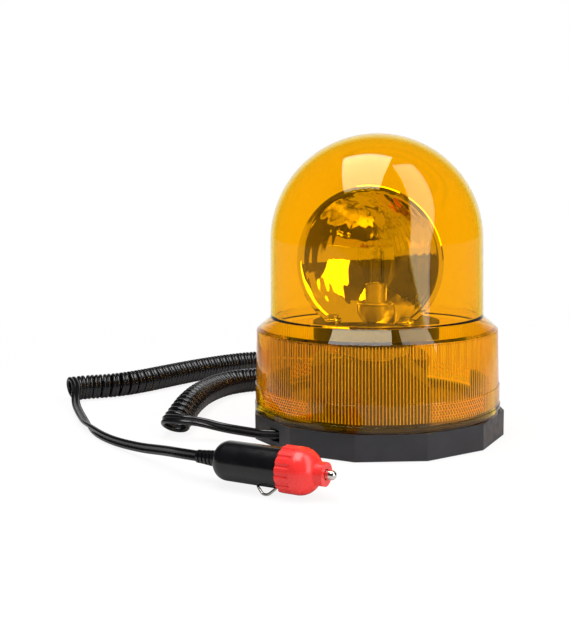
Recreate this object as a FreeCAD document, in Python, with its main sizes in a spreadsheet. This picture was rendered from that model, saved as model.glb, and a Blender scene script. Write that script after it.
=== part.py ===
import FreeCAD, Part
import math
import os
import Sketcher
from FreeCAD import Placement, Rotation, Vector

# A magnetic flashing beacon: a twelve-sided magnet base, an amber lens that
# lifts off, a halogen lamp inside a turning mirror, and a curly cord that
# ends in a plug for a vehicle's 12 V socket. Millimetres. The origin is on
# the beacon's axis, on the surface it stands on, and +Z is up.

# Driving dimensions: a name, a value and what it is
DIMENSIONS = [
    ("base_corner_radius", 67.1, "axis to a corner of the twelve-sided base"),
    ("base_turn", 21.3, "direction of one corner of the base"),
    ("base_height", 13.5, "floor to the top face of the base"),
    ("base_wall", 2.6, "skirt of the base"),
    ("base_edge_round", 2.0, "rounding of the skirt's upright edges"),
    ("deck_thickness", 2.5, "top plate of the base"),
    ("skirt_lift", 0.5, "air under the skirt, so that the pad carries the beacon"),
    ("pad_thickness", 2.0, "rubber pad under the magnet"),
    ("pad_gap", 0.3, "pad to the skirt"),
    ("magnet_bore", 20.0, "ring magnet, hole radius"),
    ("plate_to_deck", 1.0, "steel plate to the underside of the deck, which its bosses bridge"),
    ("plate_setback", 17.8, "side of the base to the steel plate, with room for the cord clamp"),
    ("plate_overhang", 2.0, "steel plate standing out past the magnet"),
    ("plate_thickness", 2.0, "steel plate on the magnet"),
    ("magnet_screw_circle", 13.0, "axis to each magnet screw"),
    ("screw_radius", 1.5, "shank of every small screw"),
    ("screw_head_radius", 3.0, "head of every small screw"),
    ("screw_head_height", 1.8, "head of every small screw"),
    ("recess_length", 3.4, "cross recess of every small screw"),
    ("recess_width", 0.7, "cross recess of every small screw"),
    ("recess_depth", 0.9, "cross recess of every small screw"),
    ("boss_radius", 3.6, "screw bosses"),
    ("collar_clearance", 1.4, "collar to the inside of the lens"),
    ("collar_wall", 3.0, "collar inside the lens"),
    ("collar_low", 2.5, "collar between its four tall segments"),
    ("collar_tall", 13.5, "height of the four tall segments"),
    ("collar_span", 53.0, "angle that one tall segment covers"),
    ("collar_turn", 86.1, "direction of the middle of one tall segment"),
    ("gasket_width", 0.8, "sealing ring"),
    ("gasket_height", 1.6, "sealing ring"),
    ("gasket_gap", 0.3, "sealing ring to the collar"),
    ("lens_ledge", 2.1, "corner of the base standing out past the lens's foot"),
    ("lens_foot_height", 3.5, "plain flange at the lens's foot"),
    ("lens_foot_step", 0.4, "flange standing out from the wall above"),
    ("lens_band_height", 13.8, "top of the plain band, above the base"),
    ("lens_band_step", 0.4, "band standing out from the wall above"),
    ("lens_wall_draft", 0.7, "wall of the lens leaning in by its shoulder"),
    ("lens_shoulder_height", 42.4, "start of the shoulder, above the base"),
    ("lens_shoulder_width", 7.5, "shoulder of the lens, from the side"),
    ("lens_neck_height", 48.8, "top of the shoulder, above the base"),
    ("dome_draft", 0.5, "upper wall of the lens leaning in by the dome"),
    ("dome_spring_height", 88.3, "where the dome starts to curve, above the base"),
    ("lens_wall", 2.2, "thickness of the lens"),
    ("lens_rib_span", 32.0, "angle that one group of inner ribs covers"),
    ("lens_rib_depth", 1.2, "inner ribs, standing in from the wall"),
    ("lens_rib_height", 1.3, "one inner rib"),
    ("lens_rib_pitch", 2.65, "rib to rib"),
    ("lens_rib_start", 5.5, "lowest rib, above the base"),
    ("chassis_left", 33.5, "axis to the left wall of the drive housing"),
    ("chassis_right", 27.5, "axis to the right wall of the drive housing"),
    ("chassis_depth", 22.0, "axis to the front and back walls of the drive housing"),
    ("chassis_height", 24.5, "drive housing"),
    ("chassis_slope_height", 13.0, "right wall below its slope"),
    ("chassis_slope_start", 13.5, "axis to where the top starts to slope"),
    ("chassis_wall", 2.2, "walls of the drive housing"),
    ("wire_notch_left", 19.5, "axis to the wire notch's left side"),
    ("wire_notch_width", 11.0, "notch for the wires in the front wall"),
    ("wire_notch_height", 4.5, "notch for the wires in the front wall"),
    ("chassis_lug_height", 3.0, "screw lugs of the drive housing"),
    ("chassis_lug_left", 26.0, "axis to the left lugs"),
    ("chassis_lug_right", 20.0, "axis to the right lugs"),
    ("chassis_lug_out", 4.5, "front and back walls to the middle of the lugs"),
    ("motor_radius", 10.3, "motor can"),
    ("motor_end_height", 2.2, "plastic end cap of the motor"),
    ("motor_clearance", 0.4, "motor to the base"),
    ("motor_boss_radius", 2.9, "round boss on the motor's top"),
    ("motor_boss_height", 2.5, "round boss on the motor's top"),
    ("shaft_radius", 1.0, "motor shaft"),
    ("shaft_end_gap", 0.5, "shaft standing out of the pinion"),
    ("gear_module", 0.8, "size of the gear teeth"),
    ("gear_teeth", 42, "teeth of the ring gear"),
    ("pinion_teeth", 10, "teeth of the motor pinion"),
    ("gear_backlash", 0.2, "added to the distance between the gears"),
    ("gear_thickness", 4.5, "ring gear"),
    ("holder_radius", 5.75, "lamp holder tube, outside"),
    ("holder_bore", 4.7, "lamp socket in the holder"),
    ("holder_wire_bore", 1.9, "wire passage in the holder"),
    ("holder_flange_radius", 10.0, "flange of the lamp holder on the drive housing"),
    ("holder_flange_height", 1.5, "flange of the lamp holder on the drive housing"),
    ("holder_drop", 8.0, "holder tube below the top of the drive housing"),
    ("socket_depth", 20.7, "lamp socket"),
    ("run_gap", 0.3, "running clearance of the turntable"),
    ("bush_wall", 1.2, "bearing bush"),
    ("bush_flange_height", 1.0, "flange of the bearing bush"),
    ("bush_flange_radius", 9.0, "flange of the bearing bush"),
    ("gear_seat_radius", 12.0, "boss that carries the ring gear"),
    ("gear_seat_shoulder", 14.5, "shoulder above the ring gear"),
    ("turntable_radius", 33.3, "turntable"),
    ("turntable_rim", 1.8, "thickness of the turntable's rim"),
    ("turntable_rim_height", 9.5, "rim of the turntable"),
    ("turntable_thickness", 2.0, "turntable disc"),
    ("turntable_top", 59.5, "floor to the top of the turntable disc"),
    ("hub_radius", 9.1, "turntable hub around the lamp holder"),
    ("hub_height", 8.8, "turntable hub, above the disc"),
    ("clip_radius", 8.0, "ring clip above the hub"),
    ("clip_thickness", 1.0, "ring clip above the hub"),
    ("mirror_mouth", 36.3, "mirror dish, mouth radius inside"),
    ("mirror_ahead", 15.0, "lamp to the plane of the mirror's mouth"),
    ("mirror_lip_radius", 39.0, "rolled lip of the mirror, outside"),
    ("mirror_lip_thickness", 1.6, "rolled lip of the mirror"),
    ("mirror_wall", 1.2, "mirror dish"),
    ("mirror_facing", 254.0, "direction that the mirror faces at rest"),
    ("mirror_hub_gap", 0.3, "cut-out of the mirror around the hub"),
    ("focus_rise", 32.0, "top of the turntable disc to the lamp's filament"),
    ("filament_rise", 12.0, "top of the lamp's cap to its filament"),
    ("lamp_cap_out", 0.8, "lamp's cap standing out of the lamp holder"),
    ("mirror_ear_ahead", 13.5, "lamp axis to the mirror's screws, ahead"),
    ("mirror_ear_inset", 2.69, "lip of the mirror, on the disc, to the mirror's screws"),
    ("mirror_ear_radius", 4.6, "screw ears of the mirror"),
    ("mirror_ear_height", 2.2, "screw ears of the mirror"),
    ("lamp_cap_radius", 4.5, "metal cap of the lamp"),
    ("lamp_cap_height", 17.5, "metal cap of the lamp"),
    ("contact_radius", 3.0, "spring contact under the lamp"),
    ("glass_radius", 4.4, "lamp glass, outside"),
    ("glass_wall", 0.6, "lamp glass"),
    ("glass_height", 19.5, "lamp glass above its cap"),
    ("filament_radius", 0.7, "filament"),
    ("filament_length", 4.6, "filament"),
    ("filament_post_radius", 0.3, "filament supports"),
    ("wire_radius", 0.8, "supply wires"),
    ("wire_hole_radius", 3.7, "wire hole in the deck"),
    ("wire_hole_inward", 15.98, "cord hole in the skirt to the wire hole, to the right"),
    ("wire_hole_rearward", 3.92, "cord hole in the skirt to the wire hole, to the rear"),
    ("cord_height", 6.6, "floor to the cord where it leaves the base"),
    ("lead_radius", 2.0, "straight leads of the cord"),
    ("cord_hole_angle", 218.7, "direction of the cord hole"),
    ("cord_hole_width", 8.5, "cord hole in the skirt"),
    ("cord_hole_height", 6.4, "cord hole in the skirt"),
    ("clamp_width", 7.2, "cord clamp under the deck"),
    ("clamp_length", 6.0, "cord clamp under the deck"),
    ("clamp_setback", 0.8, "bare end of the cord inside its clamp"),
    ("clamp_foot", 2.4, "cord clamp below the cord's middle"),
    ("coil_radius", 7.65, "curly cord, outside"),
    ("coil_height", 7.7, "floor to the middle of the curly cord"),
    ("plug_axis_height", 11.0, "floor to the plug's axis"),
    ("plug_rear_left", 28.62, "cord hole in the skirt to the plug's rear end, to the left"),
    ("plug_rear_front", 55.28, "cord hole in the skirt to the plug's rear end, to the front"),
    ("plug_turn", -23.7, "direction of the plug"),
    ("relief_length", 10.5, "strain relief behind the plug's body"),
    ("relief_end_radius", 3.0, "strain relief at its thin end"),
    ("relief_root_radius", 3.9, "strain relief at the body"),
    ("relief_groove", 0.8, "grooves of the strain relief, width and depth"),
    ("relief_seat", 4.0, "strain relief inside the plug's body"),
    ("plug_radius", 8.85, "body of the plug"),
    ("plug_length", 33.9, "body of the plug"),
    ("plug_round", 6.0, "rounded rear end of the plug's body"),
    ("plug_bore", 4.0, "inside of the plug's body"),
    ("neck_radius", 7.4, "neck that the cap screws onto"),
    ("neck_length", 5.5, "neck that the cap screws onto"),
    ("cap_radius", 10.3, "red cap"),
    ("cap_grip_length", 7.7, "ribbed part of the red cap"),
    ("cap_grips", 16, "grip flats round the red cap"),
    ("cap_grip_depth", 0.55, "grooves between the grip flats"),
    ("grip_groove_radius", 1.5, "grooves between the grip flats"),
    ("cap_cone_length", 8.0, "rounded cone of the red cap"),
    ("cap_nose_radius", 5.15, "front collar of the red cap"),
    ("cap_nose_length", 4.0, "front collar of the red cap"),
    ("cap_clearance", 0.2, "cap to the neck"),
    ("cap_front_wall", 2.0, "front wall of the cap"),
    ("pin_radius", 2.1, "sprung centre pin"),
    ("pin_out", 4.4, "pin standing out of the cap"),
    ("pin_shoulder_radius", 3.0, "shoulder that keeps the pin in"),
    ("pin_shoulder_length", 1.5, "shoulder that keeps the pin in"),
    ("pin_gap", 0.3, "clearance around the pin"),
    ("fuse_radius", 3.15, "glass fuse"),
    ("fuse_length", 25.0, "glass fuse"),
    ("spring_radius", 2.4, "spring behind the fuse, to the middle of its wire"),
    ("spring_wire", 0.35, "spring wire radius"),
    ("spring_turns", 3, "turns of the spring"),
    ("spring_room", 5.0, "chamber behind the fuse"),
    ("bow_wire_radius", 0.6, "side contact wire"),
    ("bow_length", 13.0, "side contact along the plug"),
    ("bow_bulge", 12.3, "plug axis to the side contact's middle wire"),
    ("bow_angle", 58.0, "side contacts, down from level"),
    ("bow_slot_width", 2.4, "slot for a side contact"),
]

doc = FreeCAD.newDocument("magnetic_beacon")
sheet = doc.addObject("Spreadsheet::Sheet", "sizes")
for row, (alias, value, meaning) in enumerate(DIMENSIONS, start=1):
    sheet.set(f"A{row}", meaning)
    sheet.set(f"B{row}", str(value))
    sheet.setAlias(f"B{row}", alias)
doc.recompute()


class Size:
    """A length or angle with the formula on the sheet that it comes from."""

    def __init__(self, number, formula):
        self.number = float(number)
        self.formula = formula

    def __add__(self, other):
        return Size(self.number + number_of(other), f"({self.formula} + {formula_of(other)})")

    def __sub__(self, other):
        return Size(self.number - number_of(other), f"({self.formula} - {formula_of(other)})")

    def __mul__(self, other):
        return Size(self.number * number_of(other), f"({self.formula} * {formula_of(other)})")

    def __truediv__(self, other):
        return Size(self.number / number_of(other), f"({self.formula} / {formula_of(other)})")

    def __neg__(self):
        return Size(-self.number, f"(-1 * {self.formula})")


def number_of(value):
    return value.number if isinstance(value, Size) else float(value)


def formula_of(value):
    return value.formula if isinstance(value, Size) else f"{float(value):.9g}"


def cosine(angle):
    turned = math.cos(math.radians(number_of(angle)))
    return Size(turned, f"cos({formula_of(angle)})")


def sine(angle):
    turned = math.sin(math.radians(number_of(angle)))
    return Size(turned, f"sin({formula_of(angle)})")


class Sheet:
    """The named values of the sheet, as sizes."""


s = Sheet()
for alias, value, meaning in DIMENSIONS:
    setattr(s, alias, Size(sheet.get(alias), f"sizes.{alias}"))

ZERO = Size(0, "0")
THROUGH = 1.0


def bind(thing, setting, value):
    """Tie one setting of an object to the sheet."""
    thing.setExpression(setting, formula_of(value))


def place(thing, at, turn=None):
    """Put an object somewhere, turned about the vertical."""
    axis_turn = Rotation(Vector(0, 0, 1), number_of(turn or 0))
    thing.Placement = Placement(Vector(*[number_of(value) for value in at]), axis_turn)
    for letter, value in zip("xyz", at):
        if isinstance(value, Size):
            bind(thing, f"Placement.Base.{letter}", value)
    if isinstance(turn, Size):
        bind(thing, "Placement.Rotation.Angle", turn)
    return thing


def cylinder(name, radius, height, at=(0, 0, 0), turn=None, span=None):
    thing = doc.addObject("Part::Cylinder", name)
    bind(thing, "Radius", radius)
    bind(thing, "Height", height)
    if span is not None:
        bind(thing, "Angle", span)
    return place(thing, at, turn)


def block(name, length, width, height, at=(0, 0, 0), turn=None):
    thing = doc.addObject("Part::Box", name)
    bind(thing, "Length", length)
    bind(thing, "Width", width)
    bind(thing, "Height", height)
    return place(thing, at, turn)


def fuse(name, pieces):
    thing = doc.addObject("Part::MultiFuse", name)
    thing.Shapes = pieces
    return thing


def cut(name, base, tools):
    thing = doc.addObject("Part::Cut", name)
    thing.Base = base
    thing.Tool = tools[0] if len(tools) == 1 else fuse(f"{name}_tools", tools)
    return thing


def ring(name, outer, inner, height, at=(0, 0, 0), turn=None, span=None):
    """A tube, or the part of a tube that an angle covers."""
    low = at[2] - THROUGH if isinstance(at[2], Size) else number_of(at[2]) - THROUGH
    disc = cylinder(f"{name}_disc", outer, height, at, turn, span)
    hole = cylinder(f"{name}_hole", inner, height + 2 * THROUGH, (at[0], at[1], low))
    return cut(name, disc, [hole])


def origin_plane(body, role):
    for feature in body.Origin.OriginFeatures:
        if feature.Role == role:
            return feature
    raise ValueError(role)


def pin_corner(sketch, edge, end, across, up):
    """Hold a sketch corner at its two coordinates."""
    for kind, value, axis in (("DistanceX", across, -2), ("DistanceY", up, -1)):
        number = number_of(value)
        if abs(number) < 1e-9:
            sketch.addConstraint(Sketcher.Constraint("PointOnObject", edge, end, axis))
            continue
        if number > 0:
            rule = Sketcher.Constraint(kind, -1, 1, edge, end, number)
            signed = value
        else:
            rule = Sketcher.Constraint(kind, edge, end, -1, 1, -number)
            signed = -value if isinstance(value, Size) else -number
        index = sketch.addConstraint(rule)
        sketch.setExpression(f"Constraints[{index}]", formula_of(signed))


class Bend:
    """An arc of one radius from a corner to the next, bulging to its left or right."""

    def __init__(self, radius, side):
        self.radius = radius
        self.side = side


def arc_between(start, end, radius, side):
    """The shorter arc from start to end, with its middle on one side of the chord."""
    chord = end - start
    half = chord.Length / 2
    rise = math.sqrt(max(radius * radius - half * half, 0.0))
    normal = Vector(-chord.y, chord.x, 0).normalize()
    centre = (start + end) * 0.5 - normal * (side * rise)
    first = math.atan2(start.y - centre.y, start.x - centre.x)
    last = math.atan2(end.y - centre.y, end.x - centre.x)
    circle = Part.Circle(centre, Vector(0, 0, 1), radius)
    if side < 0:
        return Part.ArcOfCircle(circle, first, last), 1
    return Part.ArcOfCircle(circle, last, first), 2


def outline(body, name, plane, items, level=None):
    """A closed sketch: corners as pairs of sizes, with a Bend where an arc follows."""
    sketch = body.newObject("Sketcher::SketchObject", name)
    sketch.AttachmentSupport = [(origin_plane(body, plane), "")]
    sketch.MapMode = "FlatFace"
    if level is not None:
        sketch.AttachmentOffset = Placement(Vector(0, 0, number_of(level)), Rotation())
        bind(sketch, "AttachmentOffset.Base.z", level)
    corners = []
    bends = {}
    for item in items:
        if isinstance(item, Bend):
            bends[len(corners) - 1] = item
        else:
            corners.append(item)
    points = [Vector(number_of(a), number_of(b), 0) for a, b in corners]
    starts = []
    for index, start in enumerate(points):
        end = points[(index + 1) % len(points)]
        if index in bends:
            bend = bends[index]
            arc, first = arc_between(start, end, number_of(bend.radius), bend.side)
            sketch.addGeometry(arc)
            starts.append(first)
        else:
            sketch.addGeometry(Part.LineSegment(start, end))
            starts.append(1)
    for index, first in enumerate(starts):
        following = (index + 1) % len(points)
        joint = Sketcher.Constraint("Coincident", index, 3 - first, following, starts[following])
        sketch.addConstraint(joint)
    for index, (across, up) in enumerate(corners):
        pin_corner(sketch, index, starts[index], across, up)
    for index, bend in bends.items():
        rule = Sketcher.Constraint("Radius", index, number_of(bend.radius))
        number = sketch.addConstraint(rule)
        sketch.setExpression(f"Constraints[{number}]", formula_of(bend.radius))
    return sketch


def turned(name, items, at=(0, 0, 0)):
    """A body turned about its own Z axis from a half outline of (radius, height)."""
    body = doc.addObject("PartDesign::Body", name)
    sketch = outline(body, f"{name}_profile", "XZ_Plane", items)
    solid = body.newObject("PartDesign::Revolution", f"{name}_turned")
    solid.Profile = sketch
    solid.ReferenceAxis = (sketch, ["V_Axis"])
    solid.Angle = 360.0
    return place(body, at)


def extruded(body, name, items, height, level=None, kind="PartDesign::Pad", plane="XY_Plane"):
    """A pad or pocket of a closed outline, raised from one level."""
    sketch = outline(body, f"{name}_outline", plane, items, level)
    solid = body.newObject(kind, name)
    solid.Profile = sketch
    bind(solid, "Length", height)
    return solid


def solid_shape(name, shape):
    """A sub-part whose shape is worked out by functions from the same sizes."""
    thing = doc.addObject("Part::Feature", name)
    thing.Shape = shape
    return thing


NODES = {}


def node(name, thing):
    thing.Label = name
    NODES[name] = thing
    return thing


# Levels and radii that several pieces share
SIDES = 12
side_step = 360.0 / SIDES
base_apothem = s.base_corner_radius * cosine(side_step / 2)
cavity_corner_radius = (base_apothem - s.base_wall) / cosine(side_step / 2)
deck_bottom = s.base_height - s.deck_thickness
plate_top = deck_bottom - s.plate_to_deck
magnet_top = plate_top - s.plate_thickness
magnet_thickness = magnet_top - s.pad_thickness
chassis_top = s.base_height + s.chassis_height
flange_top = chassis_top + s.holder_flange_height
bush_bottom = flange_top + s.run_gap
hub_bottom = bush_bottom + s.bush_flange_height
gear_top = hub_bottom + s.gear_thickness
bush_bore = s.holder_radius + s.run_gap
hub_bore = bush_bore + s.bush_wall
disc_bottom = s.turntable_top - s.turntable_thickness
hub_top = s.turntable_top + s.hub_height
gear_pitch_radius = s.gear_module * s.gear_teeth / 2
pinion_pitch_radius = s.gear_module * s.pinion_teeth / 2
gear_distance = gear_pitch_radius + pinion_pitch_radius + s.gear_backlash
plate_radius = base_apothem - s.plate_setback
magnet_radius = plate_radius - s.plate_overhang
lens_foot_radius = s.base_corner_radius - s.lens_ledge
band_radius = lens_foot_radius - s.lens_foot_step
wall_radius = band_radius - s.lens_band_step
lens_inside = wall_radius - s.lens_wall
collar_radius = lens_inside - s.collar_clearance
lens_shoulder_radius = wall_radius - s.lens_wall_draft
lens_neck_radius = lens_shoulder_radius - s.lens_shoulder_width
dome_radius = lens_neck_radius - s.dome_draft
focus_height = s.turntable_top + s.focus_rise
lamp_cap_top = focus_height - s.filament_rise
lamp_cap_bottom = lamp_cap_top - s.lamp_cap_height
holder_top = lamp_cap_top - s.lamp_cap_out
socket_bottom = holder_top - s.socket_depth
lug_radius = s.boss_radius * 1.25
lug_reach = s.chassis_depth + s.chassis_lug_out


def twelve_sided(radius):
    """The corners of a regular twelve-sided outline."""
    return [
        (radius * cosine(side_step * step), radius * sine(side_step * step))
        for step in range(SIDES)
    ]


def upright_edges(shape):
    """The names of a shape's vertical straight edges."""
    names = []
    for index, edge in enumerate(shape.Edges, start=1):
        ends = [vertex.Point for vertex in edge.Vertexes]
        if len(ends) == 2 and (ends[0] - ends[1]).cross(Vector(0, 0, 1)).Length < 1e-6:
            names.append(f"Edge{index}")
    return names


def around(radius, angle):
    """The place at a radius and an angle from the axis."""
    return radius * cosine(angle), radius * sine(angle)


def build_base_shell():
    """The twelve-sided skirt and deck, before its holes."""
    body = doc.addObject("PartDesign::Body", "base_shell")
    skirt_height = s.base_height - s.skirt_lift
    skirt = extruded(body, "skirt", twelve_sided(s.base_corner_radius), skirt_height, s.skirt_lift)
    doc.recompute()
    rounded = body.newObject("PartDesign::Fillet", "skirt_rounds")
    rounded.Base = (skirt, upright_edges(skirt.Shape))
    bind(rounded, "Radius", s.base_edge_round)
    cavity_height = deck_bottom - s.skirt_lift
    cavity = extruded(
        body,
        "cavity",
        twelve_sided(cavity_corner_radius),
        cavity_height,
        s.skirt_lift,
        "PartDesign::Pocket",
    )
    cavity.Reversed = True
    return place(body, (0, 0, 0), s.base_turn)


def build_base_housing():
    """The base moulding: shell, collar in four tall segments, bosses and holes."""
    shell = build_base_shell()
    inner = collar_radius - s.collar_wall
    pieces = [shell]
    top = s.base_height
    pieces.append(ring("collar_low", collar_radius, inner, s.collar_low, (0, 0, top)))
    for step in range(4):
        turn = s.collar_turn - s.collar_span / 2 + 90 * step
        segment = (f"collar_tall_{step}", collar_radius, inner, s.collar_tall, (0, 0, top), turn)
        pieces.append(ring(*segment, s.collar_span))
    for step in range(4):
        across, up = around(s.magnet_screw_circle, 45 + 90 * step)
        length = deck_bottom - plate_top + THROUGH
        pieces.append(cylinder(f"magnet_boss_{step}", s.boss_radius, length, (across, up, plate_top)))
    moulding = fuse("base_moulding", pieces)
    holes = []
    for step in range(4):
        across, up = around(s.magnet_screw_circle, 45 + 90 * step)
        holes.append(
            cylinder(f"magnet_pilot_{step}", s.screw_radius, s.deck_thickness, (across, up, plate_top))
        )
    for step, (across, up) in enumerate(lug_places()):
        low = s.base_height - s.deck_thickness - THROUGH
        length = s.deck_thickness + 2 * THROUGH
        holes.append(cylinder(f"chassis_pilot_{step}", s.screw_radius, length, (across, up, low)))
    wire_place = (*wire_hole_place(), deck_bottom - THROUGH)
    holes.append(
        cylinder("wire_hole", s.wire_hole_radius, s.deck_thickness + 2 * THROUGH, wire_place)
    )
    depth = s.base_wall * 4
    middle = base_apothem - s.base_wall * 2
    across, up = around(middle, s.cord_hole_angle)
    corner_x = across + s.cord_hole_width / 2 * sine(s.cord_hole_angle)
    corner_y = up - s.cord_hole_width / 2 * cosine(s.cord_hole_angle)
    low = s.cord_height - s.cord_hole_height / 2
    slot = block(
        "cord_slot",
        depth,
        s.cord_hole_width,
        s.cord_hole_height,
        (corner_x, corner_y, low),
        s.cord_hole_angle,
    )
    holes.append(slot)
    node("base_housing", cut("base_moulded", moulding, holes))


def wire_hole_place():
    """The wire hole in the deck, inward from the cord hole in the skirt."""
    across, up = around(base_apothem, s.cord_hole_angle)
    return across + s.wire_hole_inward, up + s.wire_hole_rearward


def lug_places():
    """Where the drive housing's screws go."""
    places = []
    for across in (-s.chassis_lug_left, s.chassis_lug_right):
        for up in (-lug_reach, lug_reach):
            places.append((across, up))
    return places


def build_magnet():
    """Rubber pad, ring magnet and the steel plate that carries it."""
    body = doc.addObject("PartDesign::Body", "pad_body")
    pad_radius = cavity_corner_radius - s.pad_gap
    extruded(body, "pad_sheet", twelve_sided(pad_radius), s.pad_thickness)
    node("base_pad", place(body, (0, 0, 0), s.base_turn))
    above_pad = (0, 0, s.pad_thickness)
    magnet = ring("magnet_ring", magnet_radius, s.magnet_bore, magnet_thickness, above_pad)
    node("ring_magnet", magnet)
    disc = cylinder("plate_disc", plate_radius, s.plate_thickness, (0, 0, magnet_top))
    holes = []
    screws = []
    for step in range(4):
        across, up = around(s.magnet_screw_circle, 45 + 90 * step)
        hole_place = (across, up, magnet_top - THROUGH)
        length = s.plate_thickness + 2 * THROUGH
        holes.append(cylinder(f"plate_hole_{step}", s.screw_radius, length, hole_place))
        screws.append(screw(f"magnet_screw_{step}", (across, up), magnet_top, -1, s.plate_thickness + 2))
    node("magnet_plate", cut("plate_drilled", disc, holes))
    node("magnet_screws", group("magnet_screw_set", screws))


def screw(name, place_at, seat, side, length):
    """A cross-head screw: head on one side of its seat, shank on the other."""
    across, up = [Size(number_of(value), formula_of(value)) for value in place_at]
    reach = s.screw_head_height if side > 0 else -s.screw_head_height
    head_low = seat if side > 0 else seat + reach
    shank_low = seat - length if side > 0 else seat
    head = cylinder(f"{name}_head", s.screw_head_radius, s.screw_head_height, (across, up, head_low))
    shank = cylinder(f"{name}_shank", s.screw_radius, length, (across, up, shank_low))
    face = seat + reach
    low = face - s.recess_depth if side > 0 else face - THROUGH
    height = s.recess_depth + THROUGH
    arms = []
    sides = (s.recess_length, s.recess_width)
    for arm, (wide, deep) in enumerate((sides, sides[::-1])):
        corner = (across - wide / 2, up - deep / 2, low)
        arms.append(block(f"{name}_recess_{arm}", wide, deep, height, corner))
    return cut(name, fuse(f"{name}_blank", [head, shank]), arms)


def group(name, pieces):
    """Several separate solids kept together as one sub-part."""
    thing = doc.addObject("Part::Compound", name)
    thing.Links = pieces
    return thing


def build_gasket():
    """The flat sealing ring between the collar and the lens."""
    inner = collar_radius + s.gasket_gap
    outer = inner + s.gasket_width
    node("lens_gasket", ring("gasket_ring", outer, inner, s.gasket_height, (0, 0, s.base_height)))


def build_lens():
    """The amber lens: plain foot band, tall wall, shoulder and dome, one thin shell."""
    bottom = s.base_height
    foot_top = bottom + s.lens_foot_height
    band_top = bottom + s.lens_band_height
    shoulder = bottom + s.lens_shoulder_height
    neck = bottom + s.lens_neck_height
    spring = bottom + s.dome_spring_height
    inner_dome = dome_radius - s.lens_wall
    shoulder_lift = s.lens_wall * 0.45
    shell = turned(
        "lens_shell",
        [
            (lens_foot_radius, bottom),
            (lens_foot_radius, foot_top),
            (band_radius, foot_top),
            (band_radius, band_top),
            (wall_radius, band_top),
            (lens_shoulder_radius, shoulder),
            (lens_neck_radius, neck),
            (dome_radius, spring),
            Bend(dome_radius, -1),
            (ZERO, spring + dome_radius),
            (ZERO, spring + inner_dome),
            Bend(inner_dome, 1),
            (inner_dome, spring),
            (lens_neck_radius - s.lens_wall, neck + shoulder_lift),
            (lens_shoulder_radius - s.lens_wall, shoulder + shoulder_lift),
            (lens_inside, band_top),
            (lens_inside, bottom),
        ],
    )
    pieces = [shell]
    outer = lens_inside + s.lens_wall / 2
    inner = lens_inside - s.lens_rib_depth
    for step in range(4):
        turn = s.collar_turn + 45 + 90 * step - s.lens_rib_span / 2
        for rib in range(3):
            low = bottom + s.lens_rib_start + s.lens_rib_pitch * rib
            rib_ring = (f"lens_rib_{step}_{rib}", outer, inner, s.lens_rib_height, (0, 0, low), turn)
            pieces.append(ring(*rib_ring, s.lens_rib_span))
    node("lens", fuse("lens_ribbed", pieces))


def chassis_outline(inset):
    """The front outline of the drive housing, with its sloping right shoulder."""
    bottom = s.base_height
    right = s.chassis_right - inset
    left = s.chassis_left - inset
    return [
        (-left, bottom),
        (right, bottom),
        (right, bottom + s.chassis_slope_height - inset / 2),
        (s.chassis_slope_start - inset / 2, chassis_top - inset),
        (-left, chassis_top - inset),
    ]


def build_chassis():
    """The drive housing: open below, with a hole for the motor boss and the lamp holder."""
    body = doc.addObject("PartDesign::Body", "chassis_body")
    hull = extruded(body, "chassis_hull", chassis_outline(ZERO), s.chassis_depth * 2, None,
                    "PartDesign::Pad", "XZ_Plane")
    hull.Midplane = True
    inside = extruded(body, "chassis_inside", chassis_outline(s.chassis_wall),
                      (s.chassis_depth - s.chassis_wall) * 2, None, "PartDesign::Pocket", "XZ_Plane")
    inside.Midplane = True
    pieces = [body]
    for step, (across, up) in enumerate(lug_places()):
        low = s.base_height
        pieces.append(cylinder(f"lug_{step}", lug_radius, s.chassis_lug_height, (across, up, low)))
        width = s.chassis_lug_out + s.chassis_wall / 2
        start = up if number_of(up) < 0 else up - width
        corner = (across - lug_radius, start, low)
        pieces.append(block(f"lug_web_{step}", lug_radius * 2, width, s.chassis_lug_height, corner))
    moulding = fuse("chassis_moulding", pieces)
    holes = []
    for step, (across, up) in enumerate(lug_places()):
        low = s.base_height - THROUGH
        length = s.chassis_lug_height + 2 * THROUGH
        holes.append(cylinder(f"lug_hole_{step}", s.screw_radius, length, (across, up, low)))
    low = chassis_top - s.chassis_wall - THROUGH
    length = s.chassis_wall + 2 * THROUGH
    holes.append(cylinder("motor_hole", s.motor_boss_radius, length, (-gear_distance, 0, low)))
    holes.append(cylinder("holder_hole", s.holder_radius, length, (0, 0, low)))
    notch_place = (-s.wire_notch_left, -s.chassis_depth - s.chassis_wall, s.base_height - THROUGH)
    notch_height = s.wire_notch_height + THROUGH
    notch = block("wire_notch", s.wire_notch_width, s.chassis_wall * 3, notch_height, notch_place)
    holes.append(notch)
    node("drive_housing", cut("chassis_drilled", moulding, holes))
    screws = []
    for step, where in enumerate(lug_places()):
        seat = s.base_height + s.chassis_lug_height
        length = s.chassis_lug_height + s.deck_thickness
        screws.append(screw(f"chassis_screw_{step}", where, seat, 1, length))
    node("housing_screws", group("chassis_screw_set", screws))


# A gear tooth: tip and root in modules from the pitch circle, half widths in shares of a step
TOOTH_TIP = 0.8
TOOTH_ROOT = 1.1
TIP_SHARE = 0.11
ROOT_SHARE = 0.30


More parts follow.
